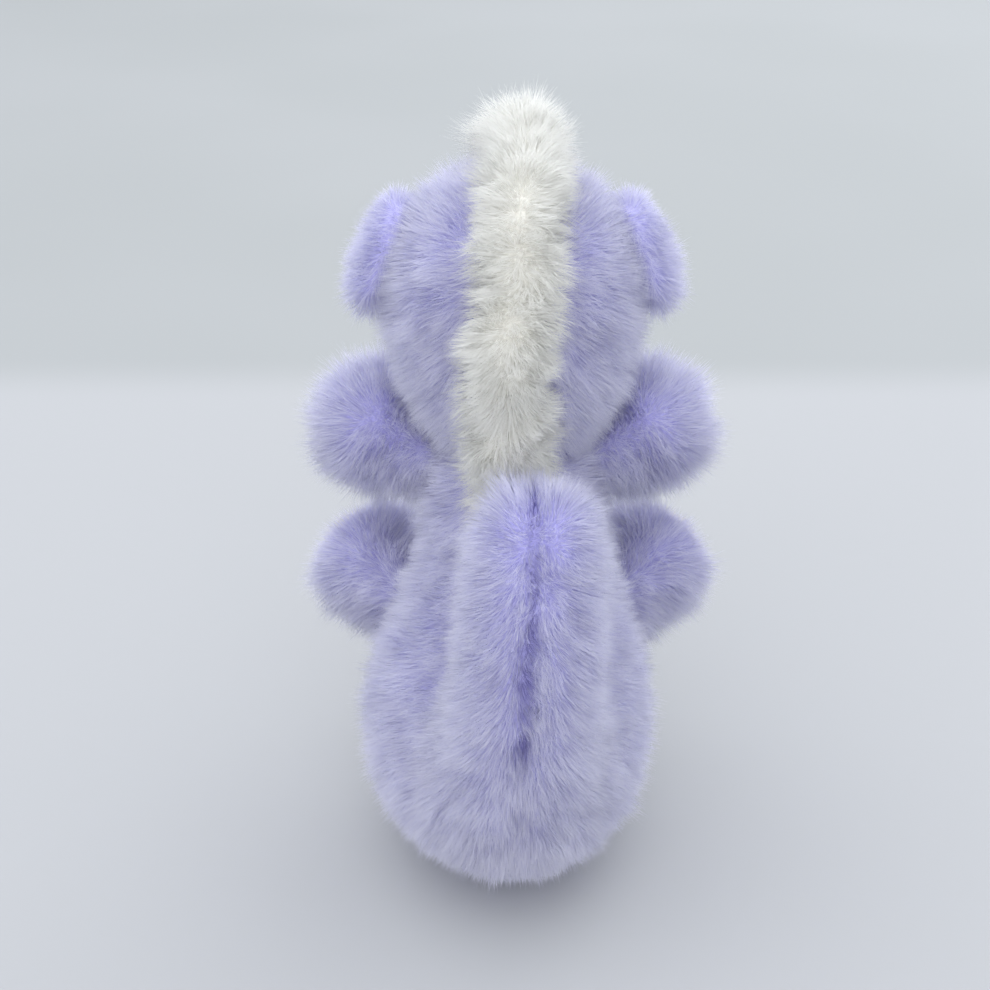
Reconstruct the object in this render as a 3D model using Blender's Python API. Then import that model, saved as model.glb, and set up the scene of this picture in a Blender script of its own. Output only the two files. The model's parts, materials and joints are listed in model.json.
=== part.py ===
"""A seated plush baby dinosaur, modelled as its sewn pieces.

Metres, +Z up. The toy faces -Y and its left side is +X. The origin is the
middle of the flat bottom panel, on the surface that the toy sits on.

Every fur piece is a thin fabric shell that is open at its seam and holds a
separate piece of stuffing. The head, arms, legs, tail and ears each hang on
their own hinge, and their roots are rounded about that hinge's axis.
"""

import math

import bmesh
import bpy
from mathutils import Matrix, Vector

MM = 0.001

# Driving sizes
FABRIC = 1.2 * MM
AIR = 0.4 * MM
LOOSE = 0.7 * MM
SIDES = {"left": 1, "right": -1}

BODY_SEGMENTS = 24
HEAD_SEGMENTS = 20
LIMB_SEGMENTS = 12
EYE_SEGMENTS = 14

# Body: height, half width, half depth and middle of each level, bottom to neck
BODY_LEVELS = (
    (0.0, 16.0, 16.0, 0.0),
    (4.0, 22.5, 22.0, 0.0),
    (11.0, 29.0, 28.5, 0.0),
    (21.0, 33.0, 32.8, 0.0),
    (34.0, 35.6, 35.2, 0.0),
    (47.0, 34.4, 33.8, -1.0),
    (60.0, 29.6, 29.0, -2.5),
    (74.0, 23.6, 22.4, -5.0),
    (92.0, 19.4, 17.8, -8.0),
    (108.0, 18.2, 16.6, -10.5),
    (117.0, 13.5, 13.0, -12.0),
)
BODY_RINGS = 15
BASE_RADIUS = 14 * MM
TAIL_SWELL = 4.0 * MM
TAIL_SWELL_HEIGHT = 34 * MM
TAIL_SWELL_SPREAD = 20 * MM
BELLY_MIDDLE = Vector((0, -42, 46)) * MM
BELLY_HALF_SIZES = Vector((19, 26, 33)) * MM
POUCH_LEVELS = ((2.4, 13, 13, 0), (5, 17, 17, 0), (12, 20, 20, 0), (20, 17, 17, 0), (24, 9, 9, 0))
POUCH_RINGS = 7
POUCH_SEGMENTS = 16

# Head: the same four numbers, neck to crown
NECK_AXIS_Y = -12 * MM
HEAD_LEVELS = (
    (118.0, 13.5, 13.0, -12.0),
    (123.0, 18.5, 18.0, -13.0),
    (133.0, 24.0, 24.5, -14.5),
    (147.0, 27.8, 28.5, -15.5),
    (161.0, 28.0, 28.5, -15.5),
    (173.0, 23.8, 24.5, -15.0),
    (181.0, 15.2, 16.0, -15.0),
    (185.0, 0.0, 0.0, -15.0),
)
HEAD_RINGS = 11

MUZZLE_MIDDLE = Vector((0, -40.0, 143.0)) * MM
MUZZLE_HALF_SIZES = Vector((15.5, 14.5, 11.5)) * MM
MUZZLE_TURNS = (-24, -4, 16, 34, 50, 64, 77)
MUZZLE_SEGMENTS = 18

NOSTRIL_HALF_SIZES = Vector((1.5, 0.9, 1.0)) * MM
NOSTRIL_SPREAD = 4.6 * MM
NOSTRIL_RISE = 4.2 * MM
SMILE_HALF_WIDTH = 7.5 * MM
SMILE_LOW = -3.8 * MM
SMILE_CURL = 2.6 * MM
SMILE_POINTS = 13
THREAD_RADIUS = 0.55 * MM

EYE_RADIUS = 4.2 * MM
EYE_BULGE = 2.6 * MM
EYE_ANGLE = math.radians(33)
EYE_HEIGHT = 161 * MM
SHANK_RADIUS = 1.2 * MM
SHANK_LENGTH = 5.2 * MM
WASHER_RADIUS = 4.6 * MM
WASHER_THICKNESS = 1.0 * MM

EAR_PIVOT = Vector((27.9, -19.0, 174.5)) * MM
EAR_LENGTH = 25 * MM
EAR_HALF_WIDTH = 10.5 * MM
EAR_HALF_THICKNESS = 3.0 * MM
EAR_LEAN = math.radians(21)
# Share of the length past the hinge, of the half width and of the half thickness
EAR_ROWS = (
    (-0.11, 0.62, 0.34),
    (-0.07, 0.70, 0.80),
    (0.0, 0.76, 1.0),
    (0.30, 0.95, 1.0),
    (0.55, 1.0, 1.0),
    (0.78, 0.86, 0.92),
    (0.93, 0.56, 0.66),
    (0.985, 0.26, 0.32),
)
EAR_SEGMENTS = 12

# Limbs: hinge, direction of the limb, length past the hinge, root and widest radius,
# then the shares of the length where it widens and how far it has widened there
ARM_PIVOT = Vector((20.5, -19.0, 109.0)) * MM
ARM_WAY = Vector((0.85, -0.46, 0.36))
ARM_LENGTH = 30.5 * MM
ARM_ROOT = 7.5 * MM
ARM_RADIUS = 13.6 * MM
LEG_PIVOT = Vector((27.5, -26.5, 60.0)) * MM
LEG_WAY = Vector((0.64, -0.72, 0.25))
LEG_LENGTH = 31.5 * MM
LEG_ROOT = 9.0 * MM
LEG_RADIUS = 13.0 * MM
LIMB_WIDENING = ((0.30, 0.5), (0.52, 0.92))

# Tail: points of its middle line and its radius there
TAIL_PIVOT = Vector((-1.0, 31.0, 44.0)) * MM
TAIL_LINE = (
    (-1.0, 31.0, 44.0, 15.0),
    (-2.2, 38.5, 62.0, 14.8),
    (-3.2, 41.5, 82.0, 14.2),
    (-4.0, 40.5, 100.0, 13.5),
    (-4.8, 37.5, 114.5, 12.2),
)
TAIL_RINGS = 8
TAIL_SEGMENTS = 16
TAIL_ROOM = 2.2 * MM

CREST_HALF_WIDTH = 7.4 * MM
CREST_HEAD_HALF_HEIGHT = 5.6 * MM
CREST_BACK_HALF_HEIGHT = 3.6 * MM
CREST_SEGMENTS = 10
CREST_HEAD_RINGS = 14
CREST_BROW_START = 10  # the ring on the head's back that is as high as the brow's end
CREST_BACK_RINGS = 8
CREST_BACK_FOOT = 7  # the body level that the back's strip starts from

PALETTE = {
    "lavender_fur": ((0.50, 0.49, 0.78), 0.95),
    "cream_fur": ((0.83, 0.83, 0.78), 0.95),
    "short_pile": ((0.76, 0.75, 0.74), 0.9),
    "fibre_fill": ((0.92, 0.92, 0.90), 1.0),
    "pellet_cloth": ((0.80, 0.78, 0.72), 0.9),
    "eye_plastic": ((0.012, 0.010, 0.014), 0.08),
    "washer_plastic": ((0.75, 0.75, 0.73), 0.45),
    "dark_thread": ((0.16, 0.13, 0.26), 0.7),
}


def clear_scene():
    for thing in list(bpy.data.objects):
        bpy.data.objects.remove(thing)


def material(name):
    made = bpy.data.materials.get(name)
    if made is None:
        colour, roughness = PALETTE[name]
        made = bpy.data.materials.new(name)
        made.use_nodes = True
        shader = made.node_tree.nodes["Principled BSDF"]
        shader.inputs["Base Color"].default_value = (*colour, 1)
        shader.inputs["Roughness"].default_value = roughness
        shader.inputs["Metallic"].default_value = 0
    return made


def add_object(name, form, finish, pivot=None):
    """Wraps a bmesh in a named object whose origin is its hinge, or the world's."""
    place = Matrix.Translation(pivot or Vector())
    form.transform(place.inverted())
    bmesh.ops.recalc_face_normals(form, faces=form.faces)
    mesh = bpy.data.meshes.new(name)
    form.to_mesh(mesh)
    form.free()
    mesh.shade_smooth()
    mesh.materials.append(material(finish))
    thing = bpy.data.objects.new(name, mesh)
    thing.matrix_world = place
    bpy.context.scene.collection.objects.link(thing)
    return thing


def add_cutter(name, form):
    cutter = add_object(name, form, "fibre_fill")
    cutter.hide_render = True
    cutter.display_type = "WIRE"
    return cutter


def boolean(thing, cutter, operation="DIFFERENCE"):
    cut = thing.modifiers.new(f"{operation.lower()}_{cutter.name}", "BOOLEAN")
    cut.operation = operation
    cut.solver = "EXACT"
    cut.object = cutter


def as_fabric(thing, outwards=False):
    """Gives an open surface the thickness of the fabric, to its inner or outer side."""
    wall = thing.modifiers.new("fabric", "SOLIDIFY")
    wall.thickness = FABRIC
    wall.offset = 1 if outwards else -1
    wall.use_rim = True
    wall.use_even_offset = False


def through(points, count):
    """Evenly spaced samples of a smooth Catmull-Rom curve through the points."""
    points = [Vector(point) for point in points]
    last = len(points) - 1
    samples = []
    for index in range(count):
        along = last * index / (count - 1)
        start = min(int(along), last - 1)
        t = along - start
        before = points[max(start - 1, 0)]
        a, b = points[start], points[start + 1]
        after = points[min(start + 2, last)]
        samples.append(
            0.5
            * (
                2 * a
                + (b - before) * t
                + (2 * before - 5 * a + 4 * b - after) * t**2
                + (3 * a - before - 3 * b + after) * t**3
            )
        )
    return samples


def loft(rings, close_start=False, close_end=False):
    """Bridges rings of equal length. A closed end is filled, an open one is a seam."""
    form = bmesh.new()
    loops = [[form.verts.new(point) for point in ring] for ring in rings]
    count = len(loops[0])
    for low, high in zip(loops, loops[1:]):
        for index in range(count):
            after = (index + 1) % count
            form.faces.new((low[index], low[after], high[after], high[index]))
    for wanted, loop in ((close_start, loops[0]), (close_end, loops[-1])):
        if wanted:
            centre = form.verts.new(sum((v.co for v in loop), Vector()) / count)
            for index in range(count):
                form.faces.new((loop[index], loop[(index + 1) % count], centre))
    bmesh.ops.recalc_face_normals(form, faces=form.faces)
    return form


def ellipse(middle, along, across, half_along, half_across, count):
    """A ring of points round the middle, counted from the first direction."""
    turns = (math.tau * index / count for index in range(count))
    return [
        middle + along * (half_along * math.cos(a)) + across * (half_across * math.sin(a))
        for a in turns
    ]


def shrunk(form, depth):
    """A copy of the surface, moved inwards along its vertex normals."""
    inner = form.copy()
    inner.normal_update()
    moved = [vert.co - vert.normal * depth for vert in inner.verts]
    for vert, place in zip(inner.verts, moved):
        vert.co = place
    return inner


def fill_openings(form):
    rims = [edge for edge in form.edges if edge.is_boundary]
    bmesh.ops.holes_fill(form, edges=rims)
    flat = [face for face in form.faces if len(face.verts) > 4]
    bmesh.ops.poke(form, faces=flat)
    return form


def stuffed(name, form, finish, pivot=None):
    """Adds an open surface as a fabric shell and the stuffing that fills it."""
    filling = fill_openings(shrunk(form, FABRIC + AIR))
    skin = add_object(f"{name[0]}_skin{name[1]}", form, finish, pivot)
    as_fabric(skin)
    stuffing = add_object(f"{name[0]}_stuffing{name[1]}", filling, "fibre_fill", pivot)
    return skin, stuffing


def level_rings(levels, rings, segments, swell=None):
    """Level rings through (height, half width, half depth, middle) rows in mm."""
    made = []
    side, back = Vector((1, 0, 0)), Vector((0, 1, 0))
    for height, width, depth, middle in through(levels, rings):
        centre = Vector((0, middle, height)) * MM
        ring = ellipse(centre, side, back, width * MM, depth * MM, segments)
        made.append([swell(point) for point in ring] if swell else ring)
    return made


def swell_for_tail(point):
    """Pushes the back of the rump outwards where the tail grows from it."""
    outwards = Vector((point.x, point.y, 0))
    backness = max(outwards.normalized().y, 0) ** 4 if outwards.length else 0
    height = math.exp(-(((point.z - TAIL_SWELL_HEIGHT) / TAIL_SWELL_SPREAD) ** 2))
    return point + Vector((0, TAIL_SWELL * backness * height, 0))


def ball(middle, radius):
    form = bmesh.new()
    bmesh.ops.create_uvsphere(
        form, u_segments=16, v_segments=12, radius=radius, matrix=Matrix.Translation(middle)
    )
    return form


def oval_ball(middle, half_sizes, segments=24):
    form = bmesh.new()
    place = Matrix.Translation(middle) @ Matrix.Diagonal((*half_sizes, 1))
    bmesh.ops.create_uvsphere(
        form, u_segments=segments, v_segments=segments // 2, radius=1, matrix=place
    )
    return form


def facing(direction):
    """A rotation that turns +Z to the direction."""
    return direction.to_track_quat("Z", "Y").to_matrix().to_4x4()


def disc(middle, direction, radius, thickness, segments):
    form = bmesh.new()
    bmesh.ops.create_cone(
        form,
        cap_ends=True,
        segments=segments,
        radius1=radius,
        radius2=radius,
        depth=thickness,
        matrix=Matrix.Translation(middle) @ facing(direction),
    )
    return form


def mirrored(point, side):
    return Vector((point.x * side, point.y, point.z))


def limb_rings(pivot, way, rows):
    """Round rings along a limb, from (distance past the hinge, radius) rows."""
    way = way.normalized()
    across = way.cross(Vector((0, 0, 1))).normalized()
    upwards = across.cross(way)
    return [
        ellipse(pivot + way * at, across, upwards, radius, radius, LIMB_SEGMENTS)
        for at, radius in rows
    ]


def arc_rows(middle, radius, turns):
    """Rows of a ball about a point along the limb, by turns in degrees from its waist."""
    angles = [math.radians(turn) for turn in turns]
    return [(middle + radius * math.sin(a), radius * math.cos(a)) for a in angles]


def limb_surface(pivot, way, length, root, widest):
    """A stub limb: a ball about its hinge that widens to a round paw."""
    rows = arc_rows(0, root, (-62, -35, -8))
    for share, growth in LIMB_WIDENING:
        rows.append((length * share, root + (widest - root) * growth))
    rows += arc_rows(length - widest, widest, (18, 40, 60, 78))
    return loft(limb_rings(pivot, way, rows), close_end=True)


def build_base():
    middle = Vector((0, 0, FABRIC / 2))
    panel = disc(middle, Vector((0, 0, 1)), BASE_RADIUS, FABRIC, BODY_SEGMENTS)
    add_object("base_panel", panel, "short_pile")
    bag = level_rings(POUCH_LEVELS, POUCH_RINGS, POUCH_SEGMENTS)
    pouch = loft(bag, close_start=True, close_end=True)
    room = shrunk(pouch, -AIR)
    for vert in room.verts:
        if vert.co.z < 3 * MM:
            vert.co.z = -FABRIC
    add_object("bean_pouch", pouch, "pellet_cloth")
    return add_cutter("pouch_room", room)


def build_body(pouch_room):
    rings = level_rings(BODY_LEVELS, BODY_RINGS, BODY_SEGMENTS, swell_for_tail)
    surface = loft(rings)
    belly_surface = surface.copy()
    skin, stuffing = stuffed(("body", ""), surface, "lavender_fur")

    cut_edge = add_cutter("belly_window", oval_ball(BELLY_MIDDLE, BELLY_HALF_SIZES))
    smaller = BELLY_HALF_SIZES - Vector((AIR,) * 3)
    panel_edge = add_cutter("belly_outline", oval_ball(BELLY_MIDDLE, smaller))
    belly = add_object("belly_panel", belly_surface, "short_pile")
    as_fabric(belly)
    boolean(skin, cut_edge)
    boolean(belly, panel_edge, "INTERSECT")

    trough = loft(tail_surface(TAIL_ROOM), close_start=True, close_end=True)
    sockets = [("tail", trough)]
    for side_name, side in SIDES.items():
        sockets.append((f"arm_{side_name}", ball(mirrored(ARM_PIVOT, side), ARM_ROOT + LOOSE)))
        sockets.append((f"leg_{side_name}", ball(mirrored(LEG_PIVOT, side), LEG_ROOT + LOOSE)))
    for name, form in sockets:
        socket = add_cutter(f"{name}_socket", form)
        for piece in (skin, stuffing, belly):
            boolean(piece, socket)
    boolean(stuffing, pouch_room)


def tail_surface(extra=0.0):
    """The tail about its bent middle line: a ball at its hinge, then a tapering tube."""
    samples = [Vector(row) for row in through(TAIL_LINE, TAIL_RINGS)]
    middles = [Vector(row[:3]) * MM for row in samples]
    radii = [row[3] * MM + extra for row in samples]
    start_way = (middles[1] - middles[0]).normalized()
    end_way = (middles[-1] - middles[-2]).normalized()
    rows = []
    for turn in (-66, -44, -22):
        angle = math.radians(turn)
        root = middles[0] + start_way * radii[0] * math.sin(angle)
        rows.append((root, start_way, radii[0] * math.cos(angle)))
    for index, (middle, radius) in enumerate(zip(middles, radii)):
        before = middles[max(index - 1, 0)]
        after = middles[min(index + 1, len(middles) - 1)]
        rows.append((middle, (after - before).normalized(), radius))
    for turn in (28, 54, 76):
        angle = math.radians(turn)
        tip = middles[-1] + end_way * radii[-1] * math.sin(angle)
        rows.append((tip, end_way, radii[-1] * math.cos(angle)))
    side = Vector((1, 0, 0))
    return [
        ellipse(middle, side, side.cross(way), radius, radius, TAIL_SEGMENTS)
        for middle, way, radius in rows
    ]


def build_tail():
    surface = loft(tail_surface(), close_end=True)
    stuffed(("tail", ""), surface, "lavender_fur", TAIL_PIVOT)


def eye_frame(side):
    """Where an eye sits on the head's surface, and the way it looks."""
    heights = [Vector(row) for row in through(HEAD_LEVELS, 60)]
    level = min(heights, key=lambda row: abs(row[0] * MM - EYE_HEIGHT))
    angle = EYE_ANGLE * side
    x = level[1] * MM * math.sin(angle)
    y = (level[3] - level[2] * math.cos(angle)) * MM
    way = Vector((math.sin(angle), -math.cos(angle), 0.06)).normalized()
    return Vector((x, y, EYE_HEIGHT)), way


def level_circle(height, radius):
    return ellipse(
        Vector((0, 0, height)), Vector((1, 0, 0)), Vector((0, 1, 0)), radius, radius, EYE_SEGMENTS
    )


def build_eye(side_name, side):
    """A domed eye on the fabric, its shank through it and the washer behind it."""
    spot, way = eye_frame(side)
    turn = facing(way)
    rows = [(-SHANK_LENGTH, SHANK_RADIUS), (AIR, SHANK_RADIUS), (AIR, EYE_RADIUS * 0.9)]
    for degrees in (0, 25, 50, 72):
        angle = math.radians(degrees)
        rows.append((AIR + 0.5 * MM + EYE_BULGE * math.sin(angle), EYE_RADIUS * math.cos(angle)))
    rings = [[turn @ p + spot for p in level_circle(at, r)] for at, r in rows]
    add_object(f"eye_{side_name}", loft(rings, close_start=True, close_end=True), "eye_plastic")

    depth = FABRIC + 3 * AIR + WASHER_THICKNESS / 2
    washer = add_object(
        f"eye_washer_{side_name}",
        disc(spot - way * depth, way, WASHER_RADIUS, WASHER_THICKNESS, EYE_SEGMENTS),
        "washer_plastic",
    )
    half_way = spot - way * SHANK_LENGTH / 2
    bore = disc(half_way, way, SHANK_RADIUS + AIR, SHANK_LENGTH * 1.6, EYE_SEGMENTS)
    shank_room = add_cutter(f"shank_room_{side_name}", bore)
    boolean(washer, shank_room)
    pocket = disc(spot, way, WASHER_RADIUS + AIR, 2 * (SHANK_LENGTH + AIR), EYE_SEGMENTS)
    return shank_room, add_cutter(f"washer_room_{side_name}", pocket)


def build_muzzle():
    """The front of an oval ball, open at the back where it is sewn to the head."""
    width, length, height = MUZZLE_HALF_SIZES
    rings = []
    for turn in MUZZLE_TURNS:
        angle = math.radians(turn)
        middle = MUZZLE_MIDDLE - Vector((0, length * math.sin(angle), 0))
        size = math.cos(angle)
        rings.append(
            ellipse(
                middle,
                Vector((1, 0, 0)),
                Vector((0, 0, 1)),
                width * size,
                height * size,
                MUZZLE_SEGMENTS,
            )
        )
    stuffed(("muzzle", ""), loft(rings, close_end=True), "lavender_fur")
    around = MUZZLE_HALF_SIZES + Vector((LOOSE + AIR,) * 3)
    return add_cutter("muzzle_room", oval_ball(MUZZLE_MIDDLE, around))


def on_muzzle(across, up, lift):
    """The point that far off the muzzle's surface, seen straight from the front."""
    width, length, height = MUZZLE_HALF_SIZES + Vector((lift,) * 3)
    depth = length * math.sqrt(1 - (across / width) ** 2 - (up / height) ** 2)
    return MUZZLE_MIDDLE + Vector((across, -depth, up))


def build_head():
    rings = level_rings(HEAD_LEVELS[:-1], HEAD_RINGS, HEAD_SEGMENTS)
    crown = Vector((0, HEAD_LEVELS[-1][3], HEAD_LEVELS[-1][0])) * MM
    surface = loft(rings, close_end=True)
    top = max(surface.verts, key=lambda vert: len(vert.link_edges))
    top.co = crown
    neck = Vector((0, NECK_AXIS_Y, HEAD_LEVELS[0][0] * MM))
    skin, stuffing = stuffed(("head", ""), surface, "lavender_fur", neck)

    muzzle_room = build_muzzle()
    boolean(skin, muzzle_room)
    boolean(stuffing, muzzle_room)
    for side_name, side_sign in SIDES.items():
        shank_room, washer_room = build_eye(side_name, side_sign)
        boolean(skin, shank_room)
        boolean(stuffing, washer_room)


def build_ear(side_name, side):
    """A lined flap that hangs from a hinge running front to back."""
    pivot = mirrored(EAR_PIVOT, side)
    down = Vector((math.sin(EAR_LEAN) * side, 0, -math.cos(EAR_LEAN)))
    front = Vector((0, 1, 0))
    outwards = front.cross(down)
    rings = [
        ellipse(
            pivot + down * (EAR_LENGTH * at),
            front,
            outwards,
            EAR_HALF_WIDTH * width,
            EAR_HALF_THICKNESS * thick,
            EAR_SEGMENTS,
        )
        for at, width, thick in EAR_ROWS
    ]
    form = loft(rings, close_start=True, close_end=True)
    add_object(f"ear_{side_name}", form, "lavender_fur", pivot)


def build_face_stitches():
    """Two satin nostrils and a stitched smile, proud of the muzzle's front."""
    for side_name, side in SIDES.items():
        spot = on_muzzle(NOSTRIL_SPREAD * side, NOSTRIL_RISE, NOSTRIL_HALF_SIZES.y + 2 * AIR)
        form = oval_ball(spot, NOSTRIL_HALF_SIZES, 10)
        add_object(f"nostril_{side_name}", form, "dark_thread")
    spots = []
    for index in range(SMILE_POINTS):
        share = 2 * index / (SMILE_POINTS - 1) - 1
        rise = SMILE_LOW + SMILE_CURL * share**2
        spots.append(on_muzzle(SMILE_HALF_WIDTH * share, rise, THREAD_RADIUS + AIR))
    rings = []
    for index, spot in enumerate(spots):
        before = spots[max(index - 1, 0)]
        after = spots[min(index + 1, len(spots) - 1)]
        way = (after - before).normalized()
        across = way.cross(Vector((0, 1, 0))).normalized()
        rings.append(ellipse(spot, across, way.cross(across), THREAD_RADIUS, THREAD_RADIUS, 8))
    add_object("mouth_stitch", loft(rings, close_start=True, close_end=True), "dark_thread")


def back_line(levels, count):
    """Points down the back of a turned form and the way out of it, in order."""
    rows = [Vector(row) for row in through(levels, count)]
    spots = [Vector((0, row[3] + row[2], row[0])) * MM for row in rows]
    ways = []
    for index in range(count):
        along = spots[min(index + 1, count - 1)] - spots[max(index - 1, 0)]
        ways.append(Vector((1, 0, 0)).cross(along).normalized() * -1)
    return list(zip(spots, ways))


def crest_form(line, half_height, start_share, end_share):
    """A rounded strip that stands on the line, thinner at its ends."""
    last = len(line) - 1
    side = Vector((1, 0, 0))
    rings = []
    for index, (spot, out) in enumerate(line):
        opening = math.sin(math.pi / 2 * min(1, index / 2))
        closing = math.sin(math.pi / 2 * min(1, (last - index) / 2))
        size = min(
            start_share + (1 - start_share) * opening, end_share + (1 - end_share) * closing
        )
        height = half_height * size
        middle = spot + out * (height + AIR + FABRIC / 2)
        rings.append(ellipse(middle, side, out, CREST_HALF_WIDTH * size, height, CREST_SEGMENTS))
    return loft(rings, close_start=True, close_end=True)


def build_crests():
    neck = Vector((0, NECK_AXIS_Y, HEAD_LEVELS[0][0] * MM))
    nape = back_line(HEAD_LEVELS[1:], CREST_HEAD_RINGS)
    brow = [
        (Vector((0, 2 * HEAD_LEVELS[-1][3] * MM - spot.y, spot.z)), Vector((0, -out.y, out.z)))
        for spot, out in reversed(nape[CREST_BROW_START:-1])
    ]
    nape[-1] = (nape[-1][0], Vector((0, 0, 1)))
    head_line = nape + brow
    add_object(
        "crest_head", crest_form(head_line, CREST_HEAD_HALF_HEIGHT, 0.8, 0.45), "cream_fur", neck
    )
    back = back_line(BODY_LEVELS[CREST_BACK_FOOT:-1], CREST_BACK_RINGS)
    add_object("crest_back", crest_form(back, CREST_BACK_HALF_HEIGHT, 0.45, 0.9), "cream_fur")


def build_limbs():
    for side_name, side in SIDES.items():
        pivot = mirrored(ARM_PIVOT, side)
        arm = limb_surface(pivot, mirrored(ARM_WAY, side), ARM_LENGTH, ARM_ROOT, ARM_RADIUS)
        stuffed(("arm", f"_{side_name}"), arm, "lavender_fur", pivot)
        pivot = mirrored(LEG_PIVOT, side)
        way = mirrored(LEG_WAY, side).normalized()
        leg = limb_surface(pivot, way, LEG_LENGTH, LEG_ROOT, LEG_RADIUS)
        stuffed(("leg", f"_{side_name}"), leg, "lavender_fur", pivot)
        sole_rows = arc_rows(LEG_LENGTH - LEG_RADIUS, LEG_RADIUS + AIR, (48, 64, 80))
        sole = loft(limb_rings(pivot, way, sole_rows), close_end=True)
        pad = add_object(f"sole_{side_name}", sole, "short_pile", pivot)
        as_fabric(pad, outwards=True)


def main():
    clear_scene()
    pouch_room = build_base()
    build_body(pouch_room)
    build_tail()
    build_head()
    for side_name, side in SIDES.items():
        build_ear(side_name, side)
    build_face_stitches()
    build_crests()
    build_limbs()


main()
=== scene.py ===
"""A seated plush baby dinosaur in long lavender pile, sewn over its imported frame.

Metres, +Z up, as the frame has them: the toy faces -Y and its left side is +X.
Sizes in the sub-assembly classes are millimetres where a name ends in _mm, and
metres everywhere else. Each padded piece is a lofted form that is filled by a
short cloth simulation; its pile is then grown on it fibre by fibre.
"""

import json
import logging
import math
from collections.abc import Callable, Sequence
from dataclasses import dataclass, field
from enum import Enum, IntEnum

import bmesh
import bpy
import numpy as np
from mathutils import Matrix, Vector

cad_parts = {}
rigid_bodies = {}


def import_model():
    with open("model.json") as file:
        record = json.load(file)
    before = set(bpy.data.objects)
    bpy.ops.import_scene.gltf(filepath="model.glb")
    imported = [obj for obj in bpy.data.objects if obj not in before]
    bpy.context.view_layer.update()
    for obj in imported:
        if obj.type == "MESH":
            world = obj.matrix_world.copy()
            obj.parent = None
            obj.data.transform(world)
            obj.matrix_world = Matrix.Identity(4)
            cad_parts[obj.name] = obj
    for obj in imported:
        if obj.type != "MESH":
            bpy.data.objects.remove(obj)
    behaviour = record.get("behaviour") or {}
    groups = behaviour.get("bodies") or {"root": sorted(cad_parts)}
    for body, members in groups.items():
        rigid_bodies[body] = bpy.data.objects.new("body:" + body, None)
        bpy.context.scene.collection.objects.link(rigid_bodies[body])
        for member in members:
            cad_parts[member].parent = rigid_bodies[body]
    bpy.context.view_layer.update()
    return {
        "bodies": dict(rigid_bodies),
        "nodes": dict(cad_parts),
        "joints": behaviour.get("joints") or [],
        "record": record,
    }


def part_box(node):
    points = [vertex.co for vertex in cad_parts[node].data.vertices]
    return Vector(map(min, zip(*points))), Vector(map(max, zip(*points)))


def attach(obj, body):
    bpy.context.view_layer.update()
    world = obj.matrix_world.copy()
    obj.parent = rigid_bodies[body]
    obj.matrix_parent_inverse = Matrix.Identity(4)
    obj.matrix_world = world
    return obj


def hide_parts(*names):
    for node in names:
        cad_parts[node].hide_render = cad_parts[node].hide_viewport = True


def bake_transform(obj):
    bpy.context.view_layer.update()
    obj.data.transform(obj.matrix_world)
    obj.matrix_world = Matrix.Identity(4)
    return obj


MM = 0.001
PILE_MAP = "OFBake"
STRANDS_PER_PIECE = 66000
PANEL_LIFT = 0.5 * MM
PANEL_CLOTH = 0.35 * MM
PANEL_RIM_PASSES = 4

Colour = tuple[float, float, float]
Comb = Callable[[np.ndarray, np.ndarray], np.ndarray]
Groom = Callable[[np.ndarray], tuple[np.ndarray, np.ndarray]]
Outside = Callable[[np.ndarray], np.ndarray]
Covers = Callable[..., np.ndarray]
Place = Callable[[bpy.types.Object], None]

ACROSS = np.array((1.0, 0.0, 0.0))
FRONT = np.array((0.0, 1.0, 0.0))
UP = np.array((0.0, 0.0, 1.0))

log = logging.getLogger("plush")


class Side(Enum):
    """The toy's own left and right."""

    LEFT = "left"
    RIGHT = "right"

    @property
    def sign(self) -> int:
        """The sign of X on this side."""
        return 1 if self is Side.LEFT else -1

    def mirror(self, point: Sequence[float]) -> np.ndarray:
        """A left-hand point, brought to this side."""
        return np.array((point[0] * self.sign, point[1], point[2]), float)


class Seed(IntEnum):
    """Where each random draw starts."""

    RUMP = 11
    BELLY = 12
    TAIL = 21
    TAIL_SEAM_BREAKS = 28
    TAIL_SEAM_PATCHES = 29
    HEAD = 31
    MUZZLE = 41
    CREST = 51
    CREST_HEIGHT = 55
    CREST_TONE = 56
    EAR = 61
    ARM = 101
    LEG = 104
    TUFTS = 91
    SOLE = 95


class Slot(Enum):
    """The names of the record's material slots."""

    LAVENDER = "lavender_fur"
    CREAM = "cream_fur"
    SHORT = "short_pile"
    EYE = "eye_plastic"
    THREAD = "dark_thread"


# ---------------------------------------------------------------- small sums


def unit(vectors: np.ndarray) -> np.ndarray:
    """The vectors, each scaled to length one."""
    return vectors / np.maximum(np.linalg.norm(vectors, axis=-1, keepdims=True), 1e-12)


def ease(values: np.ndarray, low: float, high: float) -> np.ndarray:
    """A smooth step from 0 at low to 1 at high."""
    share = np.clip((values - low) / (high - low), 0, 1)
    return share * share * (3 - 2 * share)


def bell(values: np.ndarray, width: float) -> np.ndarray:
    """A bump that is 1 at nought and fades over the width."""
    return np.exp(-((values / width) ** 2))


def lying(way: np.ndarray, normals: np.ndarray) -> np.ndarray:
    """The way, laid flat on the skin and scaled to length one."""
    return unit(way - normals * np.sum(way * normals, axis=1, keepdims=True))


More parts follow.
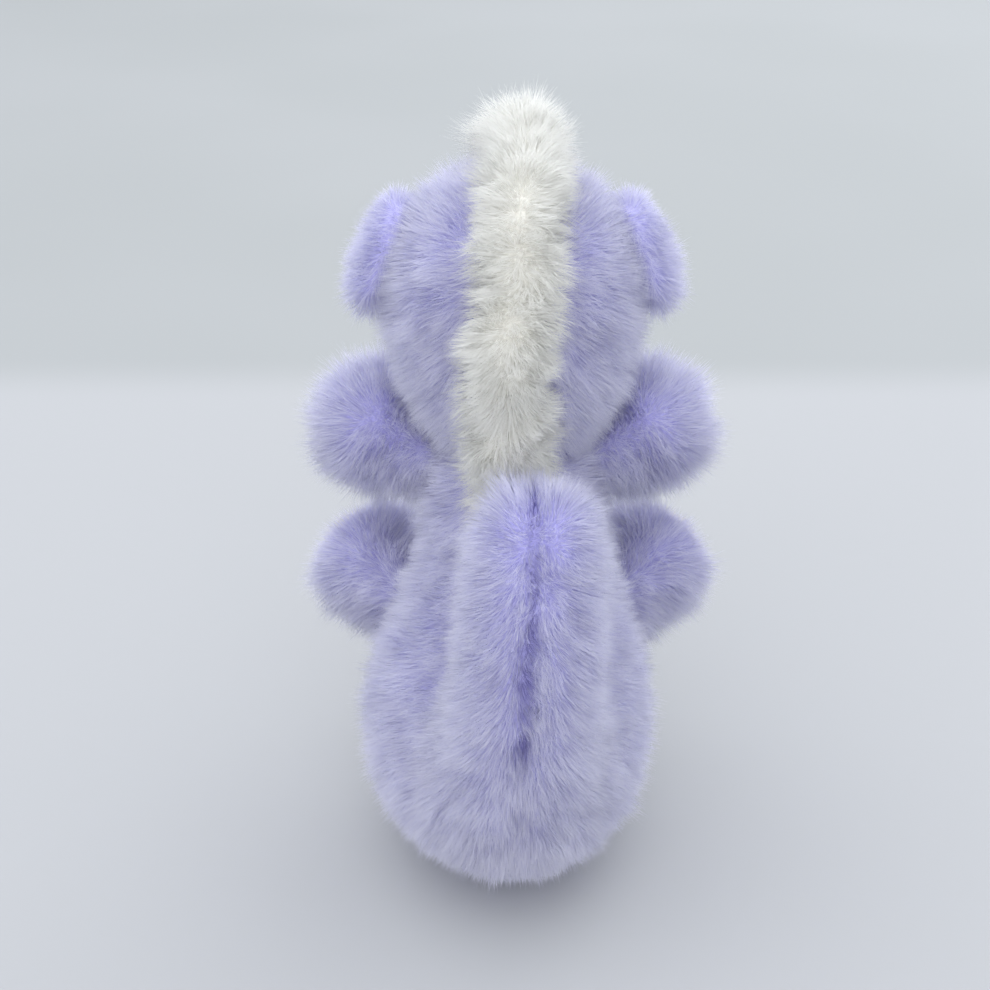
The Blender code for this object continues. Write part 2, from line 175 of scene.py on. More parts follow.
def through(rows: Sequence[Sequence[float]], count: int) -> np.ndarray:
    """Evenly spaced samples of a smooth curve through rows of numbers.

    Args:
        rows: The rows to pass through, each of the same length.
        count: How many samples to take.

    Returns:
        One row of numbers for each sample.
    """
    rows = np.array(rows, float)
    last = len(rows) - 1
    along = np.linspace(0, last, count)
    start = np.minimum(along.astype(int), last - 1)
    t = (along - start)[:, None]
    before, a = rows[np.maximum(start - 1, 0)], rows[start]
    b, after = rows[start + 1], rows[np.minimum(start + 2, last)]
    return 0.5 * (
        2 * a
        + (b - before) * t
        + (2 * before - 5 * a + 4 * b - after) * t**2
        + (3 * a - before - 3 * b + after) * t**3
    )


def drift(points: np.ndarray, pitch: float, seed: int, waves: int = 8) -> np.ndarray:
    """A smooth random vector at each point, of about unit size.

    Args:
        points: Where the vectors are wanted.
        pitch: The distance over which they change.
        seed: The seed of the random draw.
        waves: How many waves are added up.

    Returns:
        One vector for each point.
    """
    rng = np.random.default_rng(seed)
    ways = unit(rng.normal(size=(waves, 3))) * math.tau / pitch
    ways *= rng.uniform(0.6, 1.5, (waves, 1))
    phases = rng.uniform(0, math.tau, (waves, 3))
    angles = points @ ways.T
    return np.sin(angles[:, :, None] + phases).sum(axis=1) * math.sqrt(2 / waves)


def within_balls(
    points: np.ndarray, middles: np.ndarray, radii: np.ndarray, margin: float
) -> np.ndarray:
    """Tests points against the balls that follow a piece's middle line.

    Args:
        points: The points to test.
        middles: The middle of each ball.
        radii: The radius of each ball.
        margin: How much larger than its radius each ball is taken.

    Returns:
        Whether each point lies in any of the balls.
    """
    held = np.zeros(len(points), bool)
    for middle, radius in zip(middles, radii):
        held |= np.linalg.norm(points - middle, axis=1) < radius + margin
    return held


@dataclass(frozen=True)
class Trim:
    """Pile that is clipped short in one place and grows to its full length over a distance."""

    shortest: float
    start: float
    end: float

    def share(self, far: np.ndarray) -> np.ndarray:
        """The share of the full length that is left at each distance."""
        return self.shortest + (1 - self.shortest) * ease(far, self.start, self.end)


# ---------------------------------------------------------------- finishes


def socket(
    group: bpy.types.NodeTree, name: str, kind: str, value: object = None, out: bool = False
) -> None:
    """Adds a named socket to a node group.

    Args:
        group: The node group.
        name: The socket's name.
        kind: What the socket carries: Vector, Color or Float.
        value: An input's starting value, or None for the kind's own.
        out: Whether the socket is an output.
    """
    kind = f"NodeSocket{kind}"
    made = group.interface.new_socket(name, in_out="OUTPUT" if out else "INPUT", socket_type=kind)
    if value is not None:
        made.default_value = value


def new_group(name: str) -> tuple[bpy.types.NodeTree, bpy.types.Node, bpy.types.Node]:
    """An empty shader node group with its input and output nodes."""
    group = bpy.data.node_groups.new(name, "ShaderNodeTree")
    return group, group.nodes.new("NodeGroupInput"), group.nodes.new("NodeGroupOutput")


def blend_node(
    tree: bpy.types.NodeTree, factor: bpy.types.NodeSocket, a: object, b: object
) -> bpy.types.NodeSocket:
    """Adds a mix of two colours.

    Args:
        tree: The node tree.
        factor: The share of the second colour.
        a: The first colour, as a socket or a plain value.
        b: The second colour, as a socket or a plain value.

    Returns:
        The mixed colour.
    """
    mix = tree.nodes.new("ShaderNodeMix")
    mix.data_type = "RGBA"
    tree.links.new(factor, mix.inputs[0])
    for spot, value in ((6, a), (7, b)):
        if isinstance(value, bpy.types.NodeSocket):
            tree.links.new(value, mix.inputs[spot])
        else:
            mix.inputs[spot].default_value = value
    return mix.outputs[2]


def range_node(
    tree: bpy.types.NodeTree, value: bpy.types.NodeSocket, limits: Sequence[float]
) -> bpy.types.NodeSocket:
    """Adds a smooth remap of a value.

    Args:
        tree: The node tree.
        value: The value to remap.
        limits: Its low and high ends, and what they become.

    Returns:
        The new value.
    """
    remap = tree.nodes.new("ShaderNodeMapRange")
    remap.interpolation_type = "SMOOTHSTEP"
    for spot, number in enumerate(limits, start=1):
        remap.inputs[spot].default_value = number
    tree.links.new(value, remap.inputs[0])
    return remap.outputs[0]


def pile_tone_group() -> bpy.types.NodeTree:
    """Colours a fibre from its shaded root to its lit tip, lighter or deeper fibre by fibre."""
    group, start, end = new_group("pile_tone")
    socket(group, "Place", "Vector")
    socket(group, "Root", "Color", (0.3, 0.3, 0.6, 1))
    socket(group, "Tip", "Color", (0.7, 0.7, 0.9, 1))
    socket(group, "Deep", "Color", (0.2, 0.2, 0.5, 1))
    socket(group, "Colour", "Color", out=True)
    parts = group.nodes.new("ShaderNodeSeparateXYZ")
    group.links.new(start.outputs["Place"], parts.inputs[0])
    height = range_node(group, parts.outputs[1], (0.1, 0.85, 0, 1))
    along = blend_node(group, height, start.outputs["Root"], start.outputs["Tip"])
    # Low tones lean to the Deep colour: random tone fibre by fibre, and painted shade where a groom
    # lowers the tone, as along the tail's seam crease.
    tone = range_node(group, parts.outputs[0], (0.0, 0.62, 0, 1))
    toned = blend_node(group, tone, start.outputs["Deep"], along)
    group.links.new(toned, end.inputs["Colour"])
    return group


def knit_group() -> bpy.types.NodeTree:
    """The looped backing of a pile fabric: rows of small knitted loops."""
    group, start, end = new_group("knit_backing")
    socket(group, "Yarn", "Color", (0.5, 0.5, 0.7, 1))
    socket(group, "Gap", "Color", (0.3, 0.3, 0.5, 1))
    socket(group, "Loops per metre", "Float", 900.0)
    socket(group, "Colour", "Color", out=True)
    socket(group, "Height", "Float", out=True)
    place = group.nodes.new("ShaderNodeTexCoord").outputs["Object"]
    loops = group.nodes.new("ShaderNodeTexVoronoi")
    loops.feature = "SMOOTH_F1"
    group.links.new(place, loops.inputs["Vector"])
    group.links.new(start.outputs["Loops per metre"], loops.inputs["Scale"])
    mottle = group.nodes.new("ShaderNodeTexNoise")
    mottle.inputs["Scale"].default_value = 140.0
    group.links.new(place, mottle.inputs["Vector"])
    gap = range_node(group, loops.outputs["Distance"], (0.25, 0.75, 0, 1))
    knitted = blend_node(group, gap, start.outputs["Yarn"], start.outputs["Gap"])
    faded = range_node(group, mottle.outputs[0], (0.35, 0.7, 0, 0.45))
    group.links.new(blend_node(group, faded, knitted, start.outputs["Gap"]), end.inputs["Colour"])
    height = range_node(group, loops.outputs["Distance"], (0.1, 0.8, 1, 0))
    group.links.new(height, end.inputs["Height"])
    return group


def speckle_group() -> bpy.types.NodeTree:
    """Fine handling marks: a slow change of roughness and a tint that goes with it."""
    group, start, end = new_group("handling_marks")
    socket(group, "Base", "Color", (0.5, 0.5, 0.5, 1))
    socket(group, "Worn", "Color", (0.6, 0.6, 0.6, 1))
    socket(group, "Smooth", "Float", 0.1)
    socket(group, "Rough", "Float", 0.3)
    socket(group, "Colour", "Color", out=True)
    socket(group, "Roughness", "Float", out=True)
    place = group.nodes.new("ShaderNodeTexCoord").outputs["Object"]
    marks = group.nodes.new("ShaderNodeTexNoise")
    marks.inputs["Scale"].default_value = 420.0
    marks.inputs["Detail"].default_value = 6.0
    group.links.new(place, marks.inputs["Vector"])
    share = range_node(group, marks.outputs[0], (0.42, 0.72, 0, 1))
    worn = blend_node(group, share, start.outputs["Base"], start.outputs["Worn"])
    group.links.new(worn, end.inputs["Colour"])
    span = group.nodes.new("ShaderNodeMapRange")
    group.links.new(share, span.inputs[0])
    group.links.new(start.outputs["Smooth"], span.inputs[3])
    group.links.new(start.outputs["Rough"], span.inputs[4])
    group.links.new(span.outputs[0], end.inputs["Roughness"])
    return group


@dataclass
class Effects:
    """The node groups that several materials share, each built once."""

    pile_tone: bpy.types.NodeTree = field(default_factory=pile_tone_group)
    knit: bpy.types.NodeTree = field(default_factory=knit_group)
    marks: bpy.types.NodeTree = field(default_factory=speckle_group)


def started_material(
    name: str, group: bpy.types.NodeTree
) -> tuple[bpy.types.Material, bpy.types.Node, bpy.types.Node]:
    """Starts a material whose base colour comes from one of the shared groups.

    Args:
        name: The material's name.
        group: The group to place in it.

    Returns:
        The material, its shader and the placed group.
    """
    made = bpy.data.materials.new(name)
    made.use_nodes = True
    placed = made.node_tree.nodes.new("ShaderNodeGroup")
    placed.node_tree = group
    shader = made.node_tree.nodes["Principled BSDF"]
    made.node_tree.links.new(placed.outputs["Colour"], shader.inputs["Base Color"])
    return made, shader, placed


@dataclass(frozen=True)
class PileFinish:
    """Dyed pile fibres that let some light through."""

    name: str
    root: Colour
    tip: Colour
    deep: Colour
    sheer: float = 0.5
    roughness: float = 0.75
    shine: float = 0.25

    def material(self, effects: Effects) -> bpy.types.Material:
        """Builds the fibre material.

        Args:
            effects: The shared node groups.

        Returns:
            A material that reads each fibre's tone and height from its pile map.
        """
        made, shader, tone = started_material(self.name, effects.pile_tone)
        tree = made.node_tree
        for name, colour in (("Root", self.root), ("Tip", self.tip), ("Deep", self.deep)):
            tone.inputs[name].default_value = (*colour, 1)
        place = tree.nodes.new("ShaderNodeUVMap")
        place.uv_map = PILE_MAP
        tree.links.new(place.outputs[0], tone.inputs["Place"])
        shader.inputs["Roughness"].default_value = self.roughness
        shader.inputs["Specular IOR Level"].default_value = self.shine
        sheer = tree.nodes.new("ShaderNodeBsdfTranslucent")
        tree.links.new(tone.outputs["Colour"], sheer.inputs["Color"])
        both = tree.nodes.new("ShaderNodeMixShader")
        both.inputs[0].default_value = self.sheer
        tree.links.new(shader.outputs[0], both.inputs[1])
        tree.links.new(sheer.outputs[0], both.inputs[2])
        tree.links.new(both.outputs[0], tree.nodes["Material Output"].inputs["Surface"])
        return made


@dataclass(frozen=True)
class KnitFinish:
    """The knitted cloth that a pile is rooted in, or a plain sewn panel."""

    name: str
    yarn: Colour
    gap: Colour
    loops_per_metre: float = 900.0
    loop_height: float = 0.3 * MM
    bump: float = 0.5
    roughness: float = 0.9
    sheen: float = 0.2

    def material(self, effects: Effects) -> bpy.types.Material:
        """Builds the cloth material.

        Args:
            effects: The shared node groups.

        Returns:
            A material with the knitted loops as colour and bumps.
        """
        made, shader, knit = started_material(self.name, effects.knit)
        knit.inputs["Yarn"].default_value = (*self.yarn, 1)
        knit.inputs["Gap"].default_value = (*self.gap, 1)
        knit.inputs["Loops per metre"].default_value = self.loops_per_metre
        bump = made.node_tree.nodes.new("ShaderNodeBump")
        bump.inputs["Strength"].default_value = self.bump
        bump.inputs["Distance"].default_value = self.loop_height
        made.node_tree.links.new(knit.outputs["Height"], bump.inputs["Height"])
        made.node_tree.links.new(bump.outputs[0], shader.inputs["Normal"])
        shader.inputs["Roughness"].default_value = self.roughness
        shader.inputs["Sheen Weight"].default_value = self.sheen
        return made


@dataclass(frozen=True)
class MouldedFinish:
    """Moulded plastic, or smooth satin thread, with faint handling marks."""

    name: str
    base: Colour
    worn: Colour
    smooth: float
    rough: float
    coat: float = 0.0
    coat_roughness: float = 0.03

    def material(self, effects: Effects) -> bpy.types.Material:
        """Builds the moulded material.

        Args:
            effects: The shared node groups.

        Returns:
            A material whose tint and roughness vary with its handling marks.
        """
        made, shader, marks = started_material(self.name, effects.marks)
        marks.inputs["Base"].default_value = (*self.base, 1)
        marks.inputs["Worn"].default_value = (*self.worn, 1)
        marks.inputs["Smooth"].default_value = self.smooth
        marks.inputs["Rough"].default_value = self.rough
        made.node_tree.links.new(marks.outputs["Roughness"], shader.inputs["Roughness"])
        shader.inputs["Coat Weight"].default_value = self.coat
        shader.inputs["Coat Roughness"].default_value = self.coat_roughness
        return made


@dataclass
class Finishes:
    """Every finish of the toy, made into materials once."""

    effects: Effects = field(default_factory=Effects)

    def __post_init__(self) -> None:
        """Builds the materials."""
        # The lavender's deep colour gives random darker fibres and also the painted shade along the
        # tail's seam crease.
        self.lavender = PileFinish(
            "lavender_pile", (0.69, 0.68, 0.94), (0.88, 0.88, 0.99), (0.25, 0.235, 0.50)
        ).material(self.effects)
        self.cream = PileFinish(
            "cream_pile", (0.94, 0.935, 0.90), (0.965, 0.965, 0.945), (0.87, 0.865, 0.82)
        ).material(self.effects)
        self.short = PileFinish(
            "short_cream_pile", (0.66, 0.64, 0.62), (0.88, 0.86, 0.82), (0.56, 0.54, 0.54)
        ).material(self.effects)
        self.lavender_cloth = KnitFinish(
            "lavender_backing", (0.52, 0.50, 0.82), (0.38, 0.36, 0.68)
        ).material(self.effects)
        self.cream_cloth = KnitFinish(
            "cream_backing", (0.80, 0.79, 0.74), (0.62, 0.60, 0.56)
        ).material(self.effects)
        self.panel_cloth = KnitFinish(
            "panel_cloth", (0.74, 0.72, 0.70), (0.55, 0.53, 0.54), 1400.0
        ).material(self.effects)
        self.eye = MouldedFinish(
            "eye_gloss", (0.012, 0.010, 0.014), (0.02, 0.018, 0.022), 0.04, 0.1, 1.0
        ).material(self.effects)
        self.washer = MouldedFinish(
            "washer_nylon", (0.75, 0.75, 0.73), (0.68, 0.68, 0.66), 0.4, 0.55
        ).material(self.effects)
        self.thread = MouldedFinish(
            "satin_thread", (0.10, 0.08, 0.16), (0.17, 0.14, 0.26), 0.35, 0.55
        ).material(self.effects)


# ---------------------------------------------------------------- forms


def dress(mesh: bpy.types.Mesh, finish: bpy.types.Material) -> None:
    """Gives a mesh one finish and smooth shading."""
    mesh.materials.clear()
    mesh.materials.append(finish)
    mesh.shade_smooth()


def new_object(name: str, mesh: bpy.types.Mesh, finish: bpy.types.Material) -> bpy.types.Object:
    """Links a mesh into the scene.

    Args:
        name: The object's name.
        mesh: Its mesh.
        finish: Its one finish.

    Returns:
        The new object.
    """
    dress(mesh, finish)
    made = bpy.data.objects.new(name, mesh)
    bpy.context.scene.collection.objects.link(made)
    return made


def drawn(name: str, form: bmesh.types.BMesh) -> bpy.types.Mesh:
    """The form as a mesh of its own; the form itself is freed."""
    mesh = bpy.data.meshes.new(name)
    form.to_mesh(mesh)
    form.free()
    return mesh


def loft(name: str, rings: np.ndarray) -> bpy.types.Mesh:
    """Bridges rings of equal length into one skin with filled ends.

    Args:
        name: The mesh's name.
        rings: Points as (ring, point on the ring, 3).

    Returns:
        The mesh, with its normals facing out.
    """
    form = bmesh.new()
    loops = [[form.verts.new(point) for point in ring] for ring in rings.tolist()]
    count = len(loops[0])
    for low, high in zip(loops, loops[1:]):
        for index in range(count):
            after = (index + 1) % count
            form.faces.new((low[index], low[after], high[after], high[index]))
    form.faces.new(loops[0])
    form.faces.new(loops[-1])
    bmesh.ops.recalc_face_normals(form, faces=form.faces)
    return drawn(name, form)


def rings_about(
    middles: np.ndarray, across: np.ndarray, upwards: np.ndarray, halves: np.ndarray, count: int
) -> np.ndarray:
    """Oval rings about a middle line.

    Args:
        middles: The middle of each ring.
        across: The direction of each ring's first half size, or one for all.
        upwards: The direction of each ring's second half size, or one for all.
        halves: The two half sizes of each ring, or the one radius of each round ring.
        count: Points on a ring.

    Returns:
        Points as (ring, point, 3).
    """
    turns = np.linspace(0, math.tau, count, endpoint=False)
    wide, high = (halves, halves) if halves.ndim == 1 else halves.T
    width = wide[:, None, None] * np.cos(turns)[None, :, None]
    height = high[:, None, None] * np.sin(turns)[None, :, None]
    across, upwards = (np.atleast_2d(way)[:, None, :] for way in (across, upwards))
    return middles[:, None, :] + across * width + upwards * height


def coordinates(mesh: bpy.types.Mesh) -> np.ndarray:
    """The mesh's vertices as an array."""
    flat = np.empty(len(mesh.vertices) * 3, np.float32)
    mesh.vertices.foreach_get("co", flat)
    return flat.reshape(-1, 3).astype(float)


def vertex_normals(mesh: bpy.types.Mesh) -> np.ndarray:
    """The normals at the mesh's vertices as an array."""
    flat = np.empty(len(mesh.vertices) * 3, np.float32)
    mesh.vertex_normals.foreach_get("vector", flat)
    return flat.reshape(-1, 3).astype(float)


def reshape(mesh: bpy.types.Mesh, points: np.ndarray) -> None:
    """Moves the mesh's vertices to new places."""
    mesh.vertices.foreach_set("co", points.astype(np.float32).ravel())
    mesh.update()


def settled(piece: bpy.types.Object) -> bpy.types.Mesh:
    """Replaces the piece's mesh by what its modifiers make of it, and clears them."""
    graph = bpy.context.evaluated_depsgraph_get()
    mesh = bpy.data.meshes.new_from_object(piece.evaluated_get(graph))
    piece.modifiers.clear()
    piece.data = mesh
    return mesh


@dataclass(frozen=True)
class Stuffing:
    """Polyester filling that swells a sewn skin from inside."""

    voxel: float = 2.6 * MM
    pressure: float = 4.0
    swell: float = 1.8 * MM
    frames: int = 20

    def fill(
        self,
        name: str,
        rings: np.ndarray,
        finish: bpy.types.Material,
        held: Outside | None = None,
    ) -> bpy.types.Object:
        """Makes a padded piece: lofted, evened out, blown up as cloth, and smoothed.

        Args:
            name: The piece's name.
            rings: The rings that its skin is lofted through.
            finish: Its cloth.
            held: Says how firmly a seam holds each point, from 0 to 1.

        Returns:
            The finished piece.
        """
        piece = new_object(name, loft(name, rings), finish)
        even = piece.modifiers.new("even_skin", "REMESH")
        even.mode = "VOXEL"
        even.voxel_size = self.voxel
        settled(piece)
        self.blow_up(piece, held)
        rounded = piece.modifiers.new("rounded", "SUBSURF")
        rounded.levels = rounded.render_levels = 1
        settled(piece).name = name
        dress(piece.data, finish)
        return piece

    def blow_up(self, piece: bpy.types.Object, held: Outside | None) -> None:
        """Runs the cloth simulation and keeps its result, capped at the swell.

        Args:
            piece: The piece, whose mesh is moved.
            held: Says how firmly a seam holds each point, from 0 to 1.
        """
        start = coordinates(piece.data)
        cloth = piece.modifiers.new("filling", "CLOTH")
        cloth.settings.use_pressure = True
        cloth.settings.uniform_pressure_force = self.pressure
        cloth.settings.effector_weights.gravity = 0
        cloth.collision_settings.use_collision = False
        if held is not None:
            group = piece.vertex_groups.new(name="seams")
            for index, weight in enumerate(held(start).tolist()):
                group.add([index], weight, "REPLACE")
            cloth.settings.vertex_group_mass = group.name
        scene = bpy.context.scene
        for frame in range(1, self.frames + 1):
            scene.frame_set(frame)
        graph = bpy.context.evaluated_depsgraph_get()
        swollen = coordinates(piece.evaluated_get(graph).data)
        piece.modifiers.clear()
        scene.frame_set(1)
        move = swollen - start
        far = np.linalg.norm(move, axis=1, keepdims=True)
        move *= np.minimum(1, self.swell / np.maximum(far, 1e-9))
        reshape(piece.data, start + move)


@dataclass
class Skin:
    """A triangulated skin that pile can be grown on."""

    points: np.ndarray
    triangles: np.ndarray
    normals: np.ndarray

    @classmethod
    def of(cls, piece: bpy.types.Object) -> "Skin":
        """Reads a piece's finished mesh."""
        mesh = piece.data
        mesh.calc_loop_triangles()
        corners = np.empty(len(mesh.loop_triangles) * 3, np.int32)
        mesh.loop_triangles.foreach_get("vertices", corners)
        return cls(coordinates(mesh), corners.reshape(-1, 3), vertex_normals(mesh))

    def scatter(self, per_mm2: float, rng: np.random.Generator) -> tuple[np.ndarray, np.ndarray]:
        """Spreads roots evenly over the skin.

        Args:
            per_mm2: Roots on each square millimetre.
            rng: The source of random numbers.

        Returns:
            The roots and the skin's normals there.
        """
        a, b, c = (self.points[self.triangles[:, k]] for k in range(3))
        areas = np.cumsum(np.linalg.norm(np.cross(b - a, c - a), axis=1) / 2)
        count = int(areas[-1] / MM**2 * per_mm2)
        marks = (np.arange(count) + rng.random(count)) / count * areas[-1]
        chosen = np.minimum(np.searchsorted(areas, marks), len(areas) - 1)
        u, v = rng.random((2, count))
        folded = u + v > 1
        u[folded], v[folded] = 1 - u[folded], 1 - v[folded]
        shares = np.stack((1 - u - v, u, v), axis=1)[:, :, None]
        corners = self.triangles[chosen]
        return (
            (self.points[corners] * shares).sum(axis=1),
            unit((self.normals[corners] * shares).sum(axis=1)),
        )


@dataclass
class Strands:
    """Grown fibres: three points on each, its side, its skin's normal and its tone."""

    stations: np.ndarray
    sides: np.ndarray
    normals: np.ndarray
    tones: np.ndarray

    HEIGHTS = np.array((0.0, 0.5, 1.0))
    WIDTHS = np.array((1.0, 0.85))
    CORNERS = np.array((0, 1, 3, 2, 2, 3, 4))
    STARTS = np.array((0, 4))
    TONE_WIDTH = 0.002
    SKIN_SHARE = 0.78

    def where(self, mask: np.ndarray) -> "Strands":
        """Only the fibres that the mask picks."""
        return Strands(self.stations[mask], self.sides[mask], self.normals[mask], self.tones[mask])

    def weave(self, name: str, finish: bpy.types.Material, width: float) -> bpy.types.Object:
        """Makes every fibre a thin pointed ribbon, all in one mesh.

        Args:
            name: The piece's name.
            finish: The fibre's material.
            width: A fibre's width at its root.

        Returns:
            The pile as a piece.
        """
        count = len(self.stations)
        half = self.sides[:, None, :] * (self.WIDTHS * width / 2)[None, :, None]
        points = np.empty((count, 5, 3))
        points[:, 0:4:2] = self.stations[:, :2] - half
        points[:, 1:4:2] = self.stations[:, :2] + half
        points[:, 4] = self.stations[:, 2]
        mesh = bpy.data.meshes.new(name)
        mesh.vertices.add(count * 5)
        mesh.loops.add(count * 7)
        mesh.polygons.add(count * 2)
        mesh.vertices.foreach_set("co", points.astype(np.float32).ravel())
        corners = (np.arange(count)[:, None] * 5 + self.CORNERS).ravel().astype(np.int32)
        mesh.loops.foreach_set("vertex_index", corners)
        starts = (np.arange(count)[:, None] * 7 + self.STARTS).ravel().astype(np.int32)
        mesh.polygons.foreach_set("loop_start", starts)
        heights = np.repeat(self.HEIGHTS, 2)[:5]
        edges = np.array((-1, 1, -1, 1, 0)) * self.TONE_WIDTH
        places = np.empty((count, 5, 2))
        places[:, :, 0] = self.tones[:, None] + edges
        places[:, :, 1] = heights
        mesh.uv_layers.new(name=PILE_MAP)
        picked = places.reshape(-1, 2)[corners]
        mesh.uv_layers[0].data.foreach_set("uv", picked.astype(np.float32).ravel())
        mesh.update(calc_edges=True)
        piece = new_object(name, mesh, finish)
        self.face_outwards(mesh)
        return piece

    def face_outwards(self, mesh: bpy.types.Mesh) -> None:
        """Gives the ribbons normals that lean towards the skin's, so that they shade as fur."""
        ways = unit(self.stations[:, 2] - self.stations[:, 0])
        faces = unit(np.cross(self.sides, ways))
        lean = unit(self.SKIN_SHARE * self.normals + (1 - self.SKIN_SHARE) * faces)
        spread = np.repeat(lean, 5, axis=0).astype(np.float32)
        mesh.normals_split_custom_set_from_vertices(spread)


@dataclass(frozen=True)
class Pile:
    """How a pile stands: its fibres' size, number and lie."""

    length: float
    per_mm2: float = 8.0
    width: float = 0.105 * MM
    lean: tuple[float, float] = (5.0, 20.0)
    ruffle: float = 0.42
    stray: float = 0.78
    uneven: float = 0.17
    tuft: float = 0.07
    tuft_size: float = 1.5 * MM
    mottle: float = 0.05
    floor: float = 0.25 * MM

    def grow(self, skin: Skin, comb: Comb, groom: Groom, seed: int) -> Strands:
        """Grows the pile on a skin.

        Args:
            skin: The skin to root it in.
            comb: Gives the way that the pile is brushed at each root.
            groom: Gives each root's share of the full length, 0 for none, and its tone.
            seed: The seed of the random draw.

        Returns:
            The fibres.
        """
        rng = np.random.default_rng(seed)
        roots, normals = skin.scatter(self.per_mm2, rng)
        share, tone = groom(roots)
        kept = share > 0.04
        roots, normals, share, tone = roots[kept], normals[kept], share[kept], tone[kept]
        count = len(roots)
        lie = comb(roots, normals)
        lie = lie + self.ruffle * drift(roots, 11 * MM, seed + 1)
        lie += self.ruffle * 0.7 * drift(roots, 4.5 * MM, seed + 2)
        lie = lying(lie + self.stray * rng.normal(size=(count, 3)), normals)
        length = self.length * share * (1 + self.uneven * rng.normal(size=count).clip(-2, 2))
        length *= 1 + 0.09 * drift(roots, 7 * MM, seed + 3)[:, 0]
        tilt = 8 * rng.normal(size=count) + 8 * drift(roots, 8 * MM, seed + 4)[:, 1]
        stations = [roots - normals * 0.3 * MM]
        for lean, step in zip(self.lean, np.diff(Strands.HEIGHTS)):
            angle = np.radians(np.clip(lean + tilt, 2, 84))[:, None]
            way = normals * np.cos(angle) + lie * np.sin(angle)
            stations.append(stations[-1] + way * (length * step)[:, None])
        stations = np.stack(stations, axis=1)
        tufts = self.tuft_numbers(roots, rng)
        stations = self.gather(stations, tufts)
        stations[:, :, 2] = np.maximum(stations[:, :, 2], self.floor)
        tone = 0.60 + tone + 0.09 * rng.normal(size=count)
        tone += self.mottle * drift(roots, 13 * MM, seed + 5)[:, 0]
        tone += 0.03 * rng.normal(size=tufts.max() + 1)[tufts]
        ways = unit(stations[:, 2] - stations[:, 0])
        level = unit(np.cross(lie, normals))
        steep = unit(np.cross(level, ways))
        twist = np.radians(rng.uniform(-68, 68, count))[:, None]
        sides = level * np.cos(twist) + steep * np.sin(twist)
        inward = np.sum(np.cross(sides, ways) * normals, axis=1) < 0
        sides[inward] *= -1
        return Strands(stations, sides, normals, np.clip(tone, 0.01, 0.99))

    def tuft_numbers(self, roots: np.ndarray, rng: np.random.Generator) -> np.ndarray:
        """The number of the tuft that each fibre belongs to."""
        wobble = 0.55 * self.tuft_size * drift(roots, 3.1 * self.tuft_size, Seed.TUFTS)
        cells = np.floor((roots + wobble) / self.tuft_size + rng.random(3)).astype(np.int64)
        cells -= cells.min(axis=0)
        keys = (cells[:, 0] * 4096 + cells[:, 1]) * 4096 + cells[:, 2]
        return np.unique(keys, return_inverse=True)[1].ravel()

    def gather(self, stations: np.ndarray, tufts: np.ndarray) -> np.ndarray:
        """Draws each tuft's fibres together towards their tips."""
        sizes = np.bincount(tufts)
        tips = stations[:, 2]
        middle = np.stack([np.bincount(tufts, tips[:, k]) / sizes for k in range(3)], axis=1)
        pull = (middle[tufts] - tips) * self.tuft
        return stations + pull[:, None, :] * (Strands.HEIGHTS**1.6)[None, :, None]


@dataclass(frozen=True)
class Fillet:
    """The soft hollow where one padded form grows out of another."""

    reach: float = 15 * MM
    rise: float = 7 * MM
    hidden: float = 5 * MM
    steps: int = 14
    pace: float = 0.7

    def merge(self, piece: bpy.types.Object, own: Outside, other: Outside) -> None:
        """Moves a piece's skin out to the surface that it shares with the other form.

        Args:
            piece: The piece whose mesh is moved.
            own: How far points are outside the piece's own form.
            other: How far points are outside the form that it meets.
        """
        start, normals = coordinates(piece.data), vertex_normals(piece.data)
        rest = own(start)
        shown = ease(other(start), -self.hidden, 0.0)
        far = np.zeros(len(start))
        for _ in range(self.steps):
            points = start + normals * far[:, None]
            inner, outer = own(points) - rest, other(points)
            share = np.clip(1 - np.abs(inner - outer) / self.reach, 0, 1)
            gap = np.minimum(inner, outer) - share**2 * self.reach / 4
            far = np.clip(far - self.pace * gap, 0, self.rise)
        reshape(piece.data, start + normals * (far * shown)[:, None])


def plant(
    name: str,
    strands: Strands,
    finish: bpy.types.Material,
    width: float,
    place: Place,
) -> None:
    """Makes a pile's pieces, left and right of the middle where it is a large one.

    Args:
        name: The start of the pieces' names.
        strands: The fibres.
        finish: Their material.
        width: A fibre's width.
        place: Puts a piece on its body or bodies.
    """
    if len(strands.tones) <= STRANDS_PER_PIECE:
        parts = {name: strands}
    else:
        left = strands.stations[:, 0, 0] >= np.median(strands.stations[:, 0, 0])
        parts = {f"{name}_left": strands.where(left), f"{name}_right": strands.where(~left)}
    for part_name, part in parts.items():
        place(part.weave(part_name, finish, width))
        log.info("%s: %d fibres", part_name, len(part.tones))


def rider(body: str) -> Place:
    """Makes the function that puts a piece on one body.

    Args:
        body: The body that the piece moves with.

    Returns:
        The function.
    """

    def place(piece: bpy.types.Object) -> None:
        """Puts a piece on the body."""
        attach(piece, body)

    return place


def bender() -> Place:
    """Makes the function that bakes a piece's place into its mesh, leaving it on no body.

    Returns:
        The function.
    """

    def place(piece: bpy.types.Object) -> None:
        """Bakes the piece's place into its mesh."""
        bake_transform(piece)

    return place


